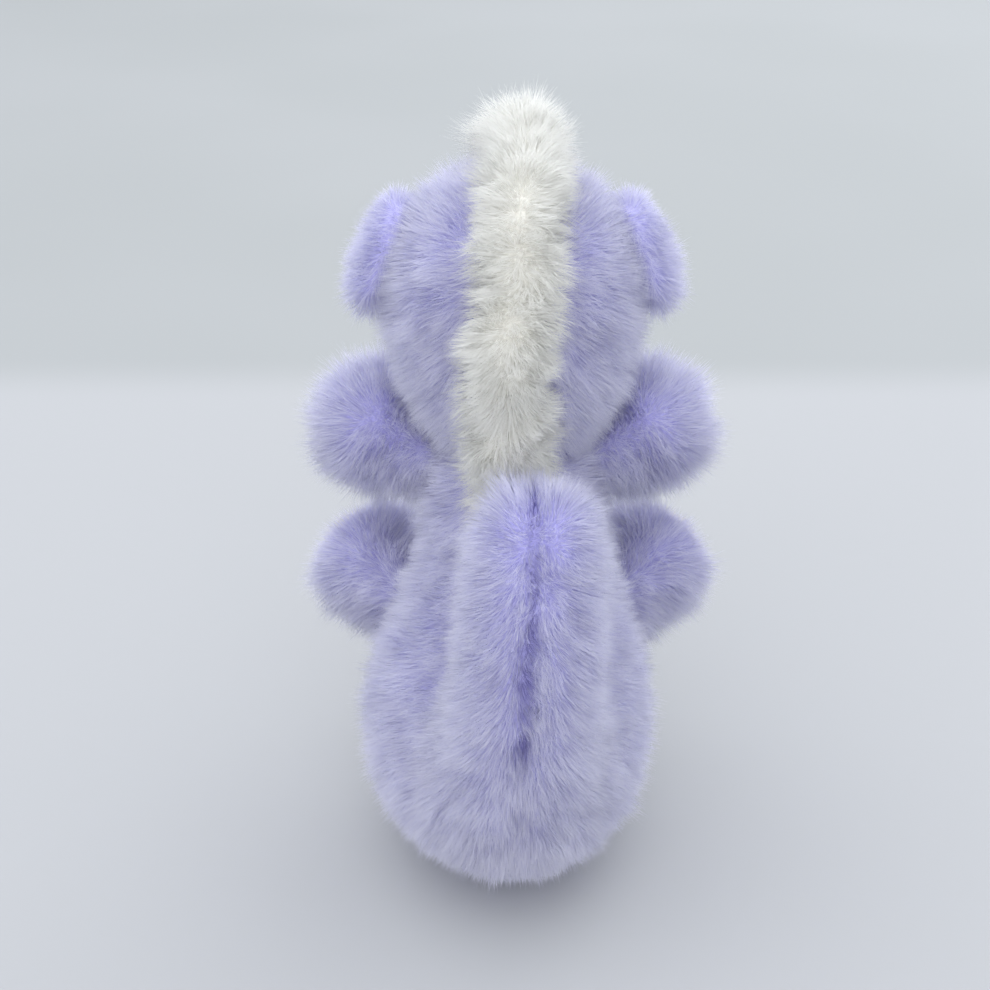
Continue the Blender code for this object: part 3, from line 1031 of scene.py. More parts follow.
def patch(
    name: str,
    source: bpy.types.Object,
    inside: Covers,
    finish: bpy.types.Material,
    place: Place,
) -> bpy.types.Object:
    """A cloth panel laid over part of a padded piece, turned in at its edge.

    Args:
        name: The panel's name.
        source: The padded piece under it.
        inside: Says which points the panel covers.
        finish: Its cloth.
        place: Puts the panel on its body.

    Returns:
        The panel.
    """
    form = bmesh.new()
    form.from_mesh(source.data)
    middles = np.array([face.calc_center_median()[:] for face in form.faces])
    covered = inside(middles)
    left_out = [face for face, kept in zip(form.faces, covered) if not kept]
    bmesh.ops.delete(form, geom=left_out, context="FACES")
    form.normal_update()
    axes = {f"use_axis_{axis}": True for axis in "xyz"}
    for _ in range(PANEL_RIM_PASSES):
        rim = [vert for vert in form.verts if vert.is_boundary]
        bmesh.ops.smooth_vert(form, verts=rim, factor=0.5, **axes)
    moves = [vert.normal * (0.0 if vert.is_boundary else PANEL_LIFT) for vert in form.verts]
    for vert, move in zip(form.verts, moves):
        vert.co += move
    piece = new_object(name, drawn(name, form), finish)
    thick = piece.modifiers.new("cloth", "SOLIDIFY")
    thick.thickness = PANEL_CLOTH
    thick.offset = 1
    settled(piece)
    place(piece)
    log.info("%s", name)
    return piece


# ---------------------------------------------------------------- sub-assemblies


def downwards(points: np.ndarray, normals: np.ndarray) -> np.ndarray:
    """Pile brushed down, and outwards where the skin is level."""
    way = np.zeros_like(points)
    way[:, 2] = -1.0
    way[:, :2] = 0.35 * unit(points[:, :2] + 1e-9)
    return lying(way, normals)


@dataclass
class LevelledForm:
    """A padded form that is given by its size at each height.

    A level's numbers are its height, half width, half depth and middle's place from
    back to front.
    """

    levels_mm: tuple[tuple[float, float, float, float], ...]
    rows: int
    segments: int

    def __post_init__(self) -> None:
        """Reads the sizes at each height."""
        self.levels = through(self.levels_mm, self.rows) * MM

    def sideways(self, height: np.ndarray) -> np.ndarray:
        """How far the form leans to one side at each height."""
        return np.zeros(len(height))

    def rings(self) -> np.ndarray:
        """The skin's level rings."""
        height, depth_middle = self.levels[:, 0], self.levels[:, 3]
        middles = np.stack((self.sideways(height), depth_middle, height), axis=1)
        return rings_about(middles, ACROSS, FRONT, self.levels[:, 1:3], self.segments)

    def places(self, points: np.ndarray) -> tuple[np.ndarray, np.ndarray, np.ndarray, np.ndarray]:
        """Where points are in the form's level sections.

        Args:
            points: The points.

        Returns:
            Each point's place across and along its section, as shares of the
            section's half sizes, and those half sizes.
        """
        z = points[:, 2]
        width, depth, middle = (
            np.interp(z, self.levels[:, 0], self.levels[:, k]) for k in (1, 2, 3)
        )
        across = (points[:, 0] - self.sideways(z)) / width
        return across, (points[:, 1] - middle) / depth, width, depth


@dataclass
class Rump(LevelledForm):
    """The seated body: a round rump that narrows to the neck."""

    levels_mm: tuple[tuple[float, float, float, float], ...] = (
        (0.4, 13.6, 13.6, 0.0),
        (4.0, 19.8, 19.4, 0.0),
        (11.0, 25.6, 25.6, 0.0),
        (21.0, 30.2, 30.4, 0.0),
        (34.0, 32.4, 32.8, 0.0),
        (47.0, 32.4, 32.0, -1.0),
        (60.0, 29.6, 28.0, -2.5),
        (74.0, 24.0, 21.6, -5.0),
        (92.0, 18.8, 16.8, -8.0),
        (108.0, 17.6, 15.8, -10.5),
        (117.0, 12.3, 11.8, -12.0),
    )
    rows: int = 26
    segments: int = 40
    tail_swell: float = 3.6 * MM
    lean_sideways: float = 1.3 * MM
    upright_from: float = 42 * MM
    upright_to: float = 78 * MM
    tail_swell_height: float = 34 * MM
    tail_swell_spread: float = 20 * MM
    foot: float = 1.2 * MM
    rest_height: float = 0.2 * MM
    neck_top: float = 114 * MM
    belly_middle: tuple[float, float, float] = (0.0, -42 * MM, 46 * MM)
    belly_half: tuple[float, float, float] = (19 * MM, 26 * MM, 33 * MM)
    belly_seam: float = 2.5 * MM
    belly_seam_share: float = 0.7
    pile: Pile = Pile(7.9 * MM)
    belly_pile: Pile = Pile(3.4 * MM, 7.0, 0.14 * MM, (20.0, 42.0), tuft=0.14)
    table_trim: Trim = Trim(0.22, 1 * MM, 30 * MM)

    def rings(self) -> np.ndarray:
        """The skin's rings, swollen where the tail grows from the back."""
        rings = super().rings()
        backness = np.clip(unit(rings[:, :, :2])[:, :, 1], 0, 1) ** 4
        height = bell(rings[:, :, 2] - self.tail_swell_height, self.tail_swell_spread)
        rings[:, :, 1] += self.tail_swell * backness * height
        return rings

    def sideways(self, height: np.ndarray) -> np.ndarray:
        """How far the seated rump has settled to one side at each height."""
        return self.lean_sideways * (1 - ease(height, self.upright_from, self.upright_to))

    def depth(self, points: np.ndarray) -> np.ndarray:
        """How far each point is outside the body, measured straight out from its middle."""
        across, along, width, depth = self.places(points)
        return (np.hypot(across, along) - 1) * (width + depth) / 2

    def holds(self, points: np.ndarray, margin: float = 0.0) -> np.ndarray:
        """Whether each point is inside the body, or within the margin of it."""
        return (self.depth(points) < margin) & (points[:, 2] < self.levels[-1, 0])

    def on_belly(self, points: np.ndarray, grow: float = 0.0) -> np.ndarray:
        """Whether each point is on the front gusset."""
        half = np.array(self.belly_half) + grow
        return (((points - np.array(self.belly_middle)) / half) ** 2).sum(axis=1) < 1

    def build(self, finishes: Finishes, covers: Sequence[Covers], tail_depth: Outside) -> None:
        """Builds the padded body, its belly gusset and its pile.

        Args:
            finishes: The toy's materials.
            covers: Tests for points that the tail, head and limbs cover.
            tail_depth: How far points are outside the tail.
        """
        pelt = Stuffing(swell=1.4 * MM).fill("rump_pelt", self.rings(), finishes.lavender_cloth)
        Fillet().merge(pelt, self.depth, tail_depth)
        points = coordinates(pelt.data)
        points[:, 2] = np.maximum(points[:, 2], self.rest_height)
        reshape(pelt.data, points)
        rider("root")(pelt)
        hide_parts("body_skin", "body_stuffing", "bean_pouch")
        skin = Skin.of(pelt)

        def groom(roots: np.ndarray) -> tuple[np.ndarray, np.ndarray]:
            """Shorter by the table, none under the other pieces."""
            share = self.table_trim.share(roots[:, 2])
            share *= (roots[:, 2] > self.foot) & (roots[:, 2] < self.neck_top)
            share *= ~self.on_belly(roots)
            for cover in covers:
                share *= ~cover(roots)
            return share, np.zeros(len(roots))

        strands = self.pile.grow(skin, downwards, groom, Seed.RUMP)
        place = rider("root")
        plant("rump_pile", strands, finishes.lavender, self.pile.width, place)
        self.build_belly(finishes, pelt, skin, covers)

    def build_belly(
        self, finishes: Finishes, pelt: bpy.types.Object, skin: Skin, covers: Sequence[Covers]
    ) -> None:
        """Builds the front gusset over the padded body, and its short pile.

        Args:
            finishes: The toy's materials.
            pelt: The padded body.
            skin: The body's skin.
            covers: Tests for points that the tail, head and limbs cover.
        """
        place = rider("root")
        panel = patch("belly_gusset", pelt, self.on_belly, finishes.panel_cloth, place)
        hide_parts("belly_panel")

        def groom(roots: np.ndarray) -> tuple[np.ndarray, np.ndarray]:
            """Only on the gusset, and shorter at its seam."""
            share = self.on_belly(roots, -0.4 * MM) * 1.0
            inside = self.on_belly(roots, -self.belly_seam)
            share *= np.where(inside, 1.0, self.belly_seam_share)
            for cover in covers:
                share *= ~cover(roots)
            return share, np.zeros(len(roots))

        strands = self.belly_pile.grow(skin, downwards, groom, Seed.BELLY)
        plant("belly_pile", strands, finishes.short, self.belly_pile.width, place)


@dataclass
class Tail:
    """The thick tail that flares from the rump and curls up behind the back."""

    line_mm: tuple[tuple[float, float, float, float], ...] = (
        (0.4, 13.0, 27.0, 15.0),
        (0.0, 23.0, 34.0, 15.6),
        (-0.8, 31.5, 45.5, 15.0),
        (-2.0, 38.0, 61.0, 13.8),
        (-3.2, 41.3, 80.0, 12.9),
        (-4.0, 40.5, 100.0, 12.4),
        (-4.8, 37.5, 114.5, 11.4),
    )
    rows: int = 22
    segments: int = 32
    tip_turns: tuple[float, ...] = (25.0, 48.0, 66.0, 80.0)
    seam_pinch: float = 0.24
    seam_width: float = 0.24
    tip_notch: float = 2.4 * MM
    blend_from: tuple[float, float, float] = (-0.001, 0.028, 0.036)
    blend_to: tuple[float, float, float] = (-0.002, 0.037, 0.062)
    notch_from: float = 114 * MM
    notch_to: float = 124 * MM
    notch_width: float = 3.4 * MM
    seam_from: float = 26 * MM
    seam_to: float = 66 * MM
    # Heights over which the painted shade in the seam's crease fades in.
    seam_shade_from: float = 52 * MM
    dark_to: float = 90 * MM
    parted_from: float = 40 * MM
    parted_to: float = 85 * MM
    under_root: float = 1.5 * MM
    pile: Pile = Pile(7.7 * MM, lean=(4.0, 19.0))

    def __post_init__(self) -> None:
        """Reads the middle line and its radii."""
        samples = through(self.line_mm, self.rows) * MM
        self.middles, self.radii = samples[:, :3], samples[:, 3]

    def seam_turn(self, height: np.ndarray) -> np.ndarray:
        """How far round the tail the wavering seam lies at each height."""
        return -0.08 + 0.08 * np.sin(height / (7.5 * MM)) + 0.05 * np.sin(height / (3.1 * MM))

    def rings(self) -> np.ndarray:
        """Round rings along the tail, pinched at the seam, with a rounded tip."""
        ways = unit(np.gradient(self.middles, axis=0))
        middles, radii, directions = list(self.middles), list(self.radii), list(ways)
        for degrees in self.tip_turns:
            turn = math.radians(degrees)
            middles.append(self.middles[-1] + ways[-1] * self.radii[-1] * math.sin(turn))
            radii.append(self.radii[-1] * math.cos(turn))
            directions.append(ways[-1])
        middles, radii, directions = map(np.array, (middles, radii, directions))
        out = unit(np.cross(directions, ACROSS))
        rings = rings_about(middles, ACROSS, out, radii, self.segments)
        turns = np.linspace(0, math.tau, self.segments, endpoint=False) - math.pi / 2
        turns = (turns[None, :] + self.seam_turn(middles[:, 2])[:, None] + math.pi) % math.tau
        pinch = self.seam_pinch * bell(turns - math.pi, self.seam_width)
        pinch = pinch * self.seam_strength(middles[:, 2])[:, None]
        rings = rings + (middles[:, None, :] - rings) * pinch[:, :, None]
        top = ease(rings[:, :, 2], self.notch_from, self.notch_to)
        notch = bell(rings[:, :, 0] - middles[-1, 0], self.notch_width)
        rings[:, :, 2] -= self.tip_notch * top * notch
        return rings

    def seam_strength(self, height: np.ndarray) -> np.ndarray:
        """How deep the seam is drawn in at each height: deepest on the upper half."""
        fade = ease(height, self.seam_from, self.seam_to)
        return fade * (0.85 + 0.15 * np.sin(height / (5.2 * MM)))

    def depth(self, points: np.ndarray) -> np.ndarray:
        """How far each point is outside the tail."""
        far = np.full(len(points), np.inf)
        for middle, radius in zip(self.middles, self.radii):
            far = np.minimum(far, np.linalg.norm(points - middle, axis=1) - radius)
        return far

    def covers(self, points: np.ndarray) -> np.ndarray:
        """Whether each point is under the tail's root."""
        return self.depth(points) < -self.under_root

    def around(self, points: np.ndarray) -> tuple[np.ndarray, np.ndarray, np.ndarray]:
        """Where points are on the tail.

        Args:
            points: Points on its skin.

        Returns:
            The turn from the seam, the way along the tail to its tip, and the
            way round it, away from the seam.
        """
        ways = unit(np.gradient(self.middles, axis=0))
        far = np.linalg.norm(points[:, None, :] - self.middles[None, :, :], axis=2)
        nearest = far.argmin(axis=1)
        way = ways[nearest]
        out = unit(np.cross(way, ACROSS))
        offset = points - self.middles[nearest]
        turn = np.arctan2(offset @ ACROSS, np.sum(offset * out, axis=1))
        turn = turn + self.seam_turn(points[:, 2])
        away = ACROSS * np.cos(turn)[:, None] - out * np.sin(turn)[:, None]
        return turn, way, away * np.sign(turn)[:, None]

    def comb(self, points: np.ndarray, normals: np.ndarray) -> np.ndarray:
        """Combs away from the seam, then down the tail.

        Args:
            points: The roots.
            normals: The skin's normals there.

        Returns:
            The way that the pile lies at each root.
        """
        turn, way, away = self.around(points)
        sideways = 0.30 + 0.45 * bell(turn, 1.0)
        down = 0.55 + 0.35 * ease(np.abs(turn), 0.0, 1.6)
        along = away * sideways[:, None] - way * down[:, None]
        free = ease(points[:, 2], self.parted_from, self.parted_to)[:, None]
        return lying(unit(along) * free + downwards(points, normals) * (1 - free), normals)

    def build(self, finishes: Finishes, rump: Rump) -> None:
        """Builds the padded tail and its pile, merged into the rump at its root.

        Args:
            finishes: The toy's materials.
            rump: The body that it grows from.
        """

        def held(points: np.ndarray) -> np.ndarray:
            """The seam holds the skin in."""
            return bell(self.around(points)[0], 0.2) * self.seam_strength(points[:, 2])

        pelt = Stuffing().fill("tail_pelt", self.rings(), finishes.lavender_cloth, held)
        Fillet().merge(pelt, self.depth, rump.depth)
        place = bender()
        place(pelt)
        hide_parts("tail_skin", "tail_stuffing")

        def groom(roots: np.ndarray) -> tuple[np.ndarray, np.ndarray]:
            """Shorter at the seam and painted darker along its crease as shade, none inside the
            rump.
            """
            turn = self.around(roots)[0]
            patchy = 0.8 + 0.25 * drift(roots, 9 * MM, Seed.TAIL_SEAM_PATCHES)[:, 0]
            seam = self.seam_strength(roots[:, 2]) * patchy
            share = 1 - 0.45 * np.clip(bell(turn, 0.17) * seam, 0, 1)
            share *= rump.table_trim.share(roots[:, 2])
            share *= ~rump.holds(roots)
            # Painted shade: fibres in the seam's crease lean to the deep colour, broken into patches
            # and fading in up the tail.
            breaks = drift(roots, 3.4 * MM, Seed.TAIL_SEAM_BREAKS)[:, 1]
            broken = np.clip(0.95 + 0.35 * breaks, 0.5, 1.4)
            broken *= 0.12 + 0.88 * ease(roots[:, 2], self.seam_shade_from, self.dark_to)
            seam_shade = 0.66 * bell(turn, 0.11) * broken + 0.06 * bell(turn, 0.45)
            return share, -seam_shade * seam

        strands = self.pile.grow(Skin.of(pelt), self.comb, groom, Seed.TAIL)
        plant("tail_pile", strands, finishes.lavender, self.pile.width, place)


@dataclass
class Head(LevelledForm):
    """The round head, without its face."""

    levels_mm: tuple[tuple[float, float, float, float], ...] = (
        (118.0, 12.3, 11.8, -12.0),
        (123.0, 17.3, 16.8, -13.0),
        (133.0, 22.8, 23.3, -14.5),
        (147.0, 26.6, 27.3, -15.5),
        (161.0, 26.8, 27.3, -15.5),
        (173.0, 22.6, 23.3, -15.0),
        (180.0, 14.4, 15.2, -15.0),
        (183.6, 3.0, 3.2, -15.0),
    )
    rows: int = 20
    segments: int = 36
    muzzle_middle: tuple[float, float, float] = (0.0, -40 * MM, 143 * MM)
    muzzle_half: tuple[float, float, float] = (15.5 * MM, 14.5 * MM, 11.5 * MM)
    nose_offset: tuple[float, float, float] = (0.0, -14 * MM, -2 * MM)
    parting: float = 6.0 * MM
    crown: float = 172 * MM
    neck_edge: float = 119.5 * MM
    eye_bare: float = 4.3 * MM
    eye_trim: Trim = Trim(0.28, 5 * MM, 15 * MM)
    face_trim: Trim = Trim(0.55, -40 * MM, -18 * MM)
    pile: Pile = Pile(7.9 * MM)

    def covers(self, points: np.ndarray) -> np.ndarray:
        """Whether each point is inside the head."""
        across, along = self.places(points)[:2]
        z = points[:, 2]
        return (across**2 + along**2 < 0.9) & (z > self.levels[0, 0]) & (z < self.levels[-1, 0])

    def in_muzzle(self, points: np.ndarray, grow: float = 0.0) -> np.ndarray:
        """Whether each point is inside the muzzle."""
        half = np.array(self.muzzle_half) + grow
        return (((points - np.array(self.muzzle_middle)) / half) ** 2).sum(axis=1) < 1

    def comb(self, points: np.ndarray, normals: np.ndarray) -> np.ndarray:
        """Combs down and away from the crest behind, and back from the muzzle in front.

        Args:
            points: The roots.
            normals: The skin's normals there.

        Returns:
            The way that the pile lies at each root.
        """
        way = np.zeros_like(points)
        way[:, 0] = 0.55 * np.sign(points[:, 0])
        way[:, 2] = -0.85
        nose = np.array(self.muzzle_middle) + np.array(self.nose_offset)
        back = unit(points - nose)
        front = ease(-points[:, 1], 18 * MM, 38 * MM)[:, None]
        return lying(way * (1 - front) + back * front, normals)

    def build(self, finishes: Finishes, eyes: np.ndarray) -> None:
        """Builds the padded head and its pile.

        Args:
            finishes: The toy's materials.
            eyes: The middle of each eye, round which the pile is trimmed.
        """

        def held(points: np.ndarray) -> np.ndarray:
            """The eyes' shanks and the neck seam hold the skin in."""
            grip = bell(points[:, 2] - self.levels[0, 0], 4 * MM)
            for eye in eyes:
                grip = np.maximum(grip, bell(np.linalg.norm(points - eye, axis=1), 6 * MM))
            return grip

        pelt = Stuffing().fill("head_pelt", self.rings(), finishes.lavender_cloth, held)
        place = rider("head")
        place(pelt)
        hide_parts("head_skin", "head_stuffing")

        def groom(roots: np.ndarray) -> tuple[np.ndarray, np.ndarray]:
            """Trimmed round the eyes, none under the muzzle, the crest or in the neck."""
            share = np.ones(len(roots))
            for eye in eyes:
                far = np.linalg.norm(roots - eye, axis=1)
                share *= self.eye_trim.share(far)
                share *= far > self.eye_bare
            share *= self.face_trim.share(roots[:, 1])
            share *= ~self.in_muzzle(roots)
            behind = (roots[:, 1] > 0) | (roots[:, 2] > self.crown)
            share *= ~(behind & (np.abs(roots[:, 0]) < self.parting))
            share *= roots[:, 2] > self.neck_edge
            return share, np.zeros(len(roots))

        strands = self.pile.grow(Skin.of(pelt), self.comb, groom, Seed.HEAD)
        plant("head_pile", strands, finishes.lavender, self.pile.width, place)


@dataclass
class Face:
    """The muzzle, the eyes, the nostrils and the smile, in a plain friendly design."""

    head: Head
    eye_radius: float = 4.3 * MM
    eye_bulge: float = 2.9 * MM
    eye_turn: float = math.radians(33)
    nostril_spread: float = 4.6 * MM
    nostril_rise: float = 4.2 * MM
    nostril_half: tuple[float, float] = (1.5 * MM, 1.0 * MM)
    nostril_threads: int = 7
    smile_half: float = 7.5 * MM
    smile_low: float = -3.8 * MM
    smile_curl: float = 2.6 * MM
    smile_stitches: int = 17
    thread_radius: float = 0.42 * MM
    satin_radius: float = 0.32 * MM
    muzzle_turns: tuple[float, ...] = (-40, -22, -4, 14, 32, 48, 62, 74, 84)
    shaved_front: float = -44 * MM
    muzzle_trim: Trim = Trim(0.45, -50 * MM, -38 * MM)
    pile: Pile = Pile(5.2 * MM, 6.4, 0.13 * MM, (30.0, 52.0))

    def eye_place(self, side: Side) -> tuple[np.ndarray, np.ndarray]:
        """Where an eye's flange meets the head, and the way it looks."""
        low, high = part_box(f"eye_{side.value}")
        middle = (np.array(low) + np.array(high)) / 2
        turn = self.eye_turn * side.sign
        way = unit(np.array((math.sin(turn), -math.cos(turn), 0.06)))
        return middle + way * 0.9 * MM, way

    def eye_spots(self) -> np.ndarray:
        """The middle of both eyes."""
        return np.array([self.eye_place(side)[0] for side in Side])

    def build_eye(self, side: Side, finishes: Finishes) -> None:
        """Builds a domed eye with a rolled rim, on its shank.

        Args:
            side: The side that it is on.
            finishes: The toy's materials.
        """
        spot, way = self.eye_place(side)
        across = unit(np.cross(way, UP))
        upwards = np.cross(across, way)
        radius = self.eye_radius
        profile = [(-4.0 * MM, 1.0 * MM), (-1.4 * MM, 1.1 * MM), (-1.2 * MM, radius * 0.86)]
        profile += [(-0.7 * MM, radius * 0.985), (-0.2 * MM, radius), (0.2 * MM, radius * 0.99)]
        for degrees in range(12, 90, 9):
            turn = math.radians(degrees)
            profile.append(
                (0.3 * MM + self.eye_bulge * math.sin(turn), radius * 0.97 * math.cos(turn))
            )
        rows = np.array(profile)
        rings = rings_about(spot + way * rows[:, :1], across, upwards, rows[:, 1], 32)
        name = f"eye_dome_{side.value}"
        eye = new_object(name, loft(name, rings), finishes.eye)
        rider("head")(eye)
        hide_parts(f"eye_{side.value}")
        log.info("%s", name)

    def on_muzzle(self, across: float, up: float, lift: float) -> np.ndarray:
        """Finds a point on or off the muzzle, straight from the front.

        Args:
            across: How far to the left of the muzzle's middle it is.
            up: How far above the middle it is.
            lift: How far off the muzzle it is.

        Returns:
            The point.
        """
        width, length, height = np.array(self.head.muzzle_half) + lift
        depth = length * math.sqrt(1 - (across / width) ** 2 - (up / height) ** 2)
        return np.array(self.head.muzzle_middle) + np.array((across, -depth, up))

    def stitch(self, ends: Sequence[tuple[float, float]], rise: float, radius: float) -> np.ndarray:
        """One stitch of thread over the muzzle, as rings.

        Args:
            ends: Its two ends as (across, up) on the muzzle's front.
            rise: How far its middle stands off the muzzle.
            radius: The thread's radius.

        Returns:
            The rings of a thread that dips into the cloth at both ends.
        """
        spots = []
        for share in np.linspace(0, 1, 7):
            across, up = np.array(ends[0]) * (1 - share) + np.array(ends[1]) * share
            lift = rise * math.sin(math.pi * share) ** 0.6 - 0.5 * MM
            spots.append(self.on_muzzle(across, up, lift))
        middles = np.array(spots)
        ways = unit(np.gradient(middles, axis=0))
        side = unit(np.cross(ways, FRONT))
        radii = np.full(len(middles), radius)
        return rings_about(middles, side, np.cross(ways, side), radii, 8)

    def sew(self, name: str, stitches: list[np.ndarray], node: str, finishes: Finishes) -> None:
        """Joins stitches into one piece on the head.

        Args:
            name: The piece's name.
            stitches: The rings of each stitch.
            node: The frame's node that the piece stands for.
            finishes: The toy's materials.
        """
        form = bmesh.new()
        for rings in stitches:
            stitch = loft(name, rings)
            form.from_mesh(stitch)
            bpy.data.meshes.remove(stitch)
        piece = new_object(name, drawn(name, form), finishes.thread)
        rider("head")(piece)
        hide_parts(node)
        log.info("%s: %d stitches", name, len(stitches))

    def build_stitches(self, finishes: Finishes) -> None:
        """Sews satin-stitched nostrils and a smile of short slanted stitches.

        Args:
            finishes: The toy's materials.
        """
        for side in Side:
            stitches = []
            for offset in np.linspace(-1, 1, self.nostril_threads):
                across = (self.nostril_spread + offset * self.nostril_half[0]) * side.sign
                reach = self.nostril_half[1] * math.sqrt(max(1 - 0.8 * offset**2, 0))
                ends = (across, self.nostril_rise - reach), (across, self.nostril_rise + reach)
                stitches.append(self.stitch(ends, 1.5 * MM, self.satin_radius))
            self.sew(f"nostril_satin_{side.value}", stitches, f"nostril_{side.value}", finishes)
        stitches = []
        places = np.linspace(-1, 1, self.smile_stitches + 1)
        for share, after in zip(places, places[1:] + 0.04):
            ends = [
                (self.smile_half * s, self.smile_low + self.smile_curl * s**2 + lift)
                for s, lift in ((share, -0.15 * MM), (min(after, 1.0), 0.15 * MM))
            ]
            stitches.append(self.stitch(ends, 1.6 * MM, self.thread_radius))
        self.sew("smile_stitches", stitches, "mouth_stitch", finishes)

    def build_muzzle(self, finishes: Finishes) -> None:
        """Builds the padded snout and its trimmed pile.

        Args:
            finishes: The toy's materials.
        """
        turns = np.radians(self.muzzle_turns)
        filling = Stuffing(voxel=1.8 * MM, swell=1.0 * MM)
        middle = np.array(self.head.muzzle_middle)
        half = np.array(self.head.muzzle_half) - filling.swell
        middles = middle - np.outer(np.sin(turns), (0, half[1], 0))
        rings = rings_about(middles, ACROSS, UP, np.cos(turns)[:, None] * half[[0, 2]], 30)
        pelt = filling.fill("muzzle_pelt", rings, finishes.lavender_cloth)
        place = rider("head")
        place(pelt)
        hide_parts("muzzle_skin", "muzzle_stuffing")

        def groom(roots: np.ndarray) -> tuple[np.ndarray, np.ndarray]:
            """Shaved at the stitches, and longer back towards the head."""
            share = self.muzzle_trim.share(roots[:, 1])
            across, up = np.abs(roots[:, 0]), roots[:, 2] - middle[2]
            front = roots[:, 1] < self.shaved_front
            smile = self.smile_low + self.smile_curl * (across / self.smile_half) ** 2
            on_smile = (np.abs(up - smile) < 1.1 * MM) & (across < self.smile_half + 1 * MM)
            aside = (across - self.nostril_spread) / (2.3 * MM)
            above = (up - self.nostril_rise) / (1.9 * MM)
            share *= ~(front & (on_smile | (aside**2 + above**2 < 1)))
            near = front & (np.abs(up - smile) < 2.6 * MM)
            return share * np.where(near, 0.6, 1.0), np.zeros(len(roots))

        strands = self.pile.grow(Skin.of(pelt), self.head.comb, groom, Seed.MUZZLE)
        plant("muzzle_pile", strands, finishes.lavender, self.pile.width, place)

    def build(self, finishes: Finishes, nodes: dict[str, bpy.types.Object]) -> None:
        """Builds the whole face, and gives the frame's washers their finish.

        Args:
            finishes: The toy's materials.
            nodes: The frame's nodes.
        """
        self.build_muzzle(finishes)
        self.build_stitches(finishes)
        for side in Side:
            self.build_eye(side, finishes)
            repaint(nodes[f"eye_washer_{side.value}"], finishes.washer)


def repaint(node: bpy.types.Object, finish: bpy.types.Material) -> None:
    """Gives a carried-over node a finish in each of its material slots."""
    for place in node.material_slots:
        place.material = finish


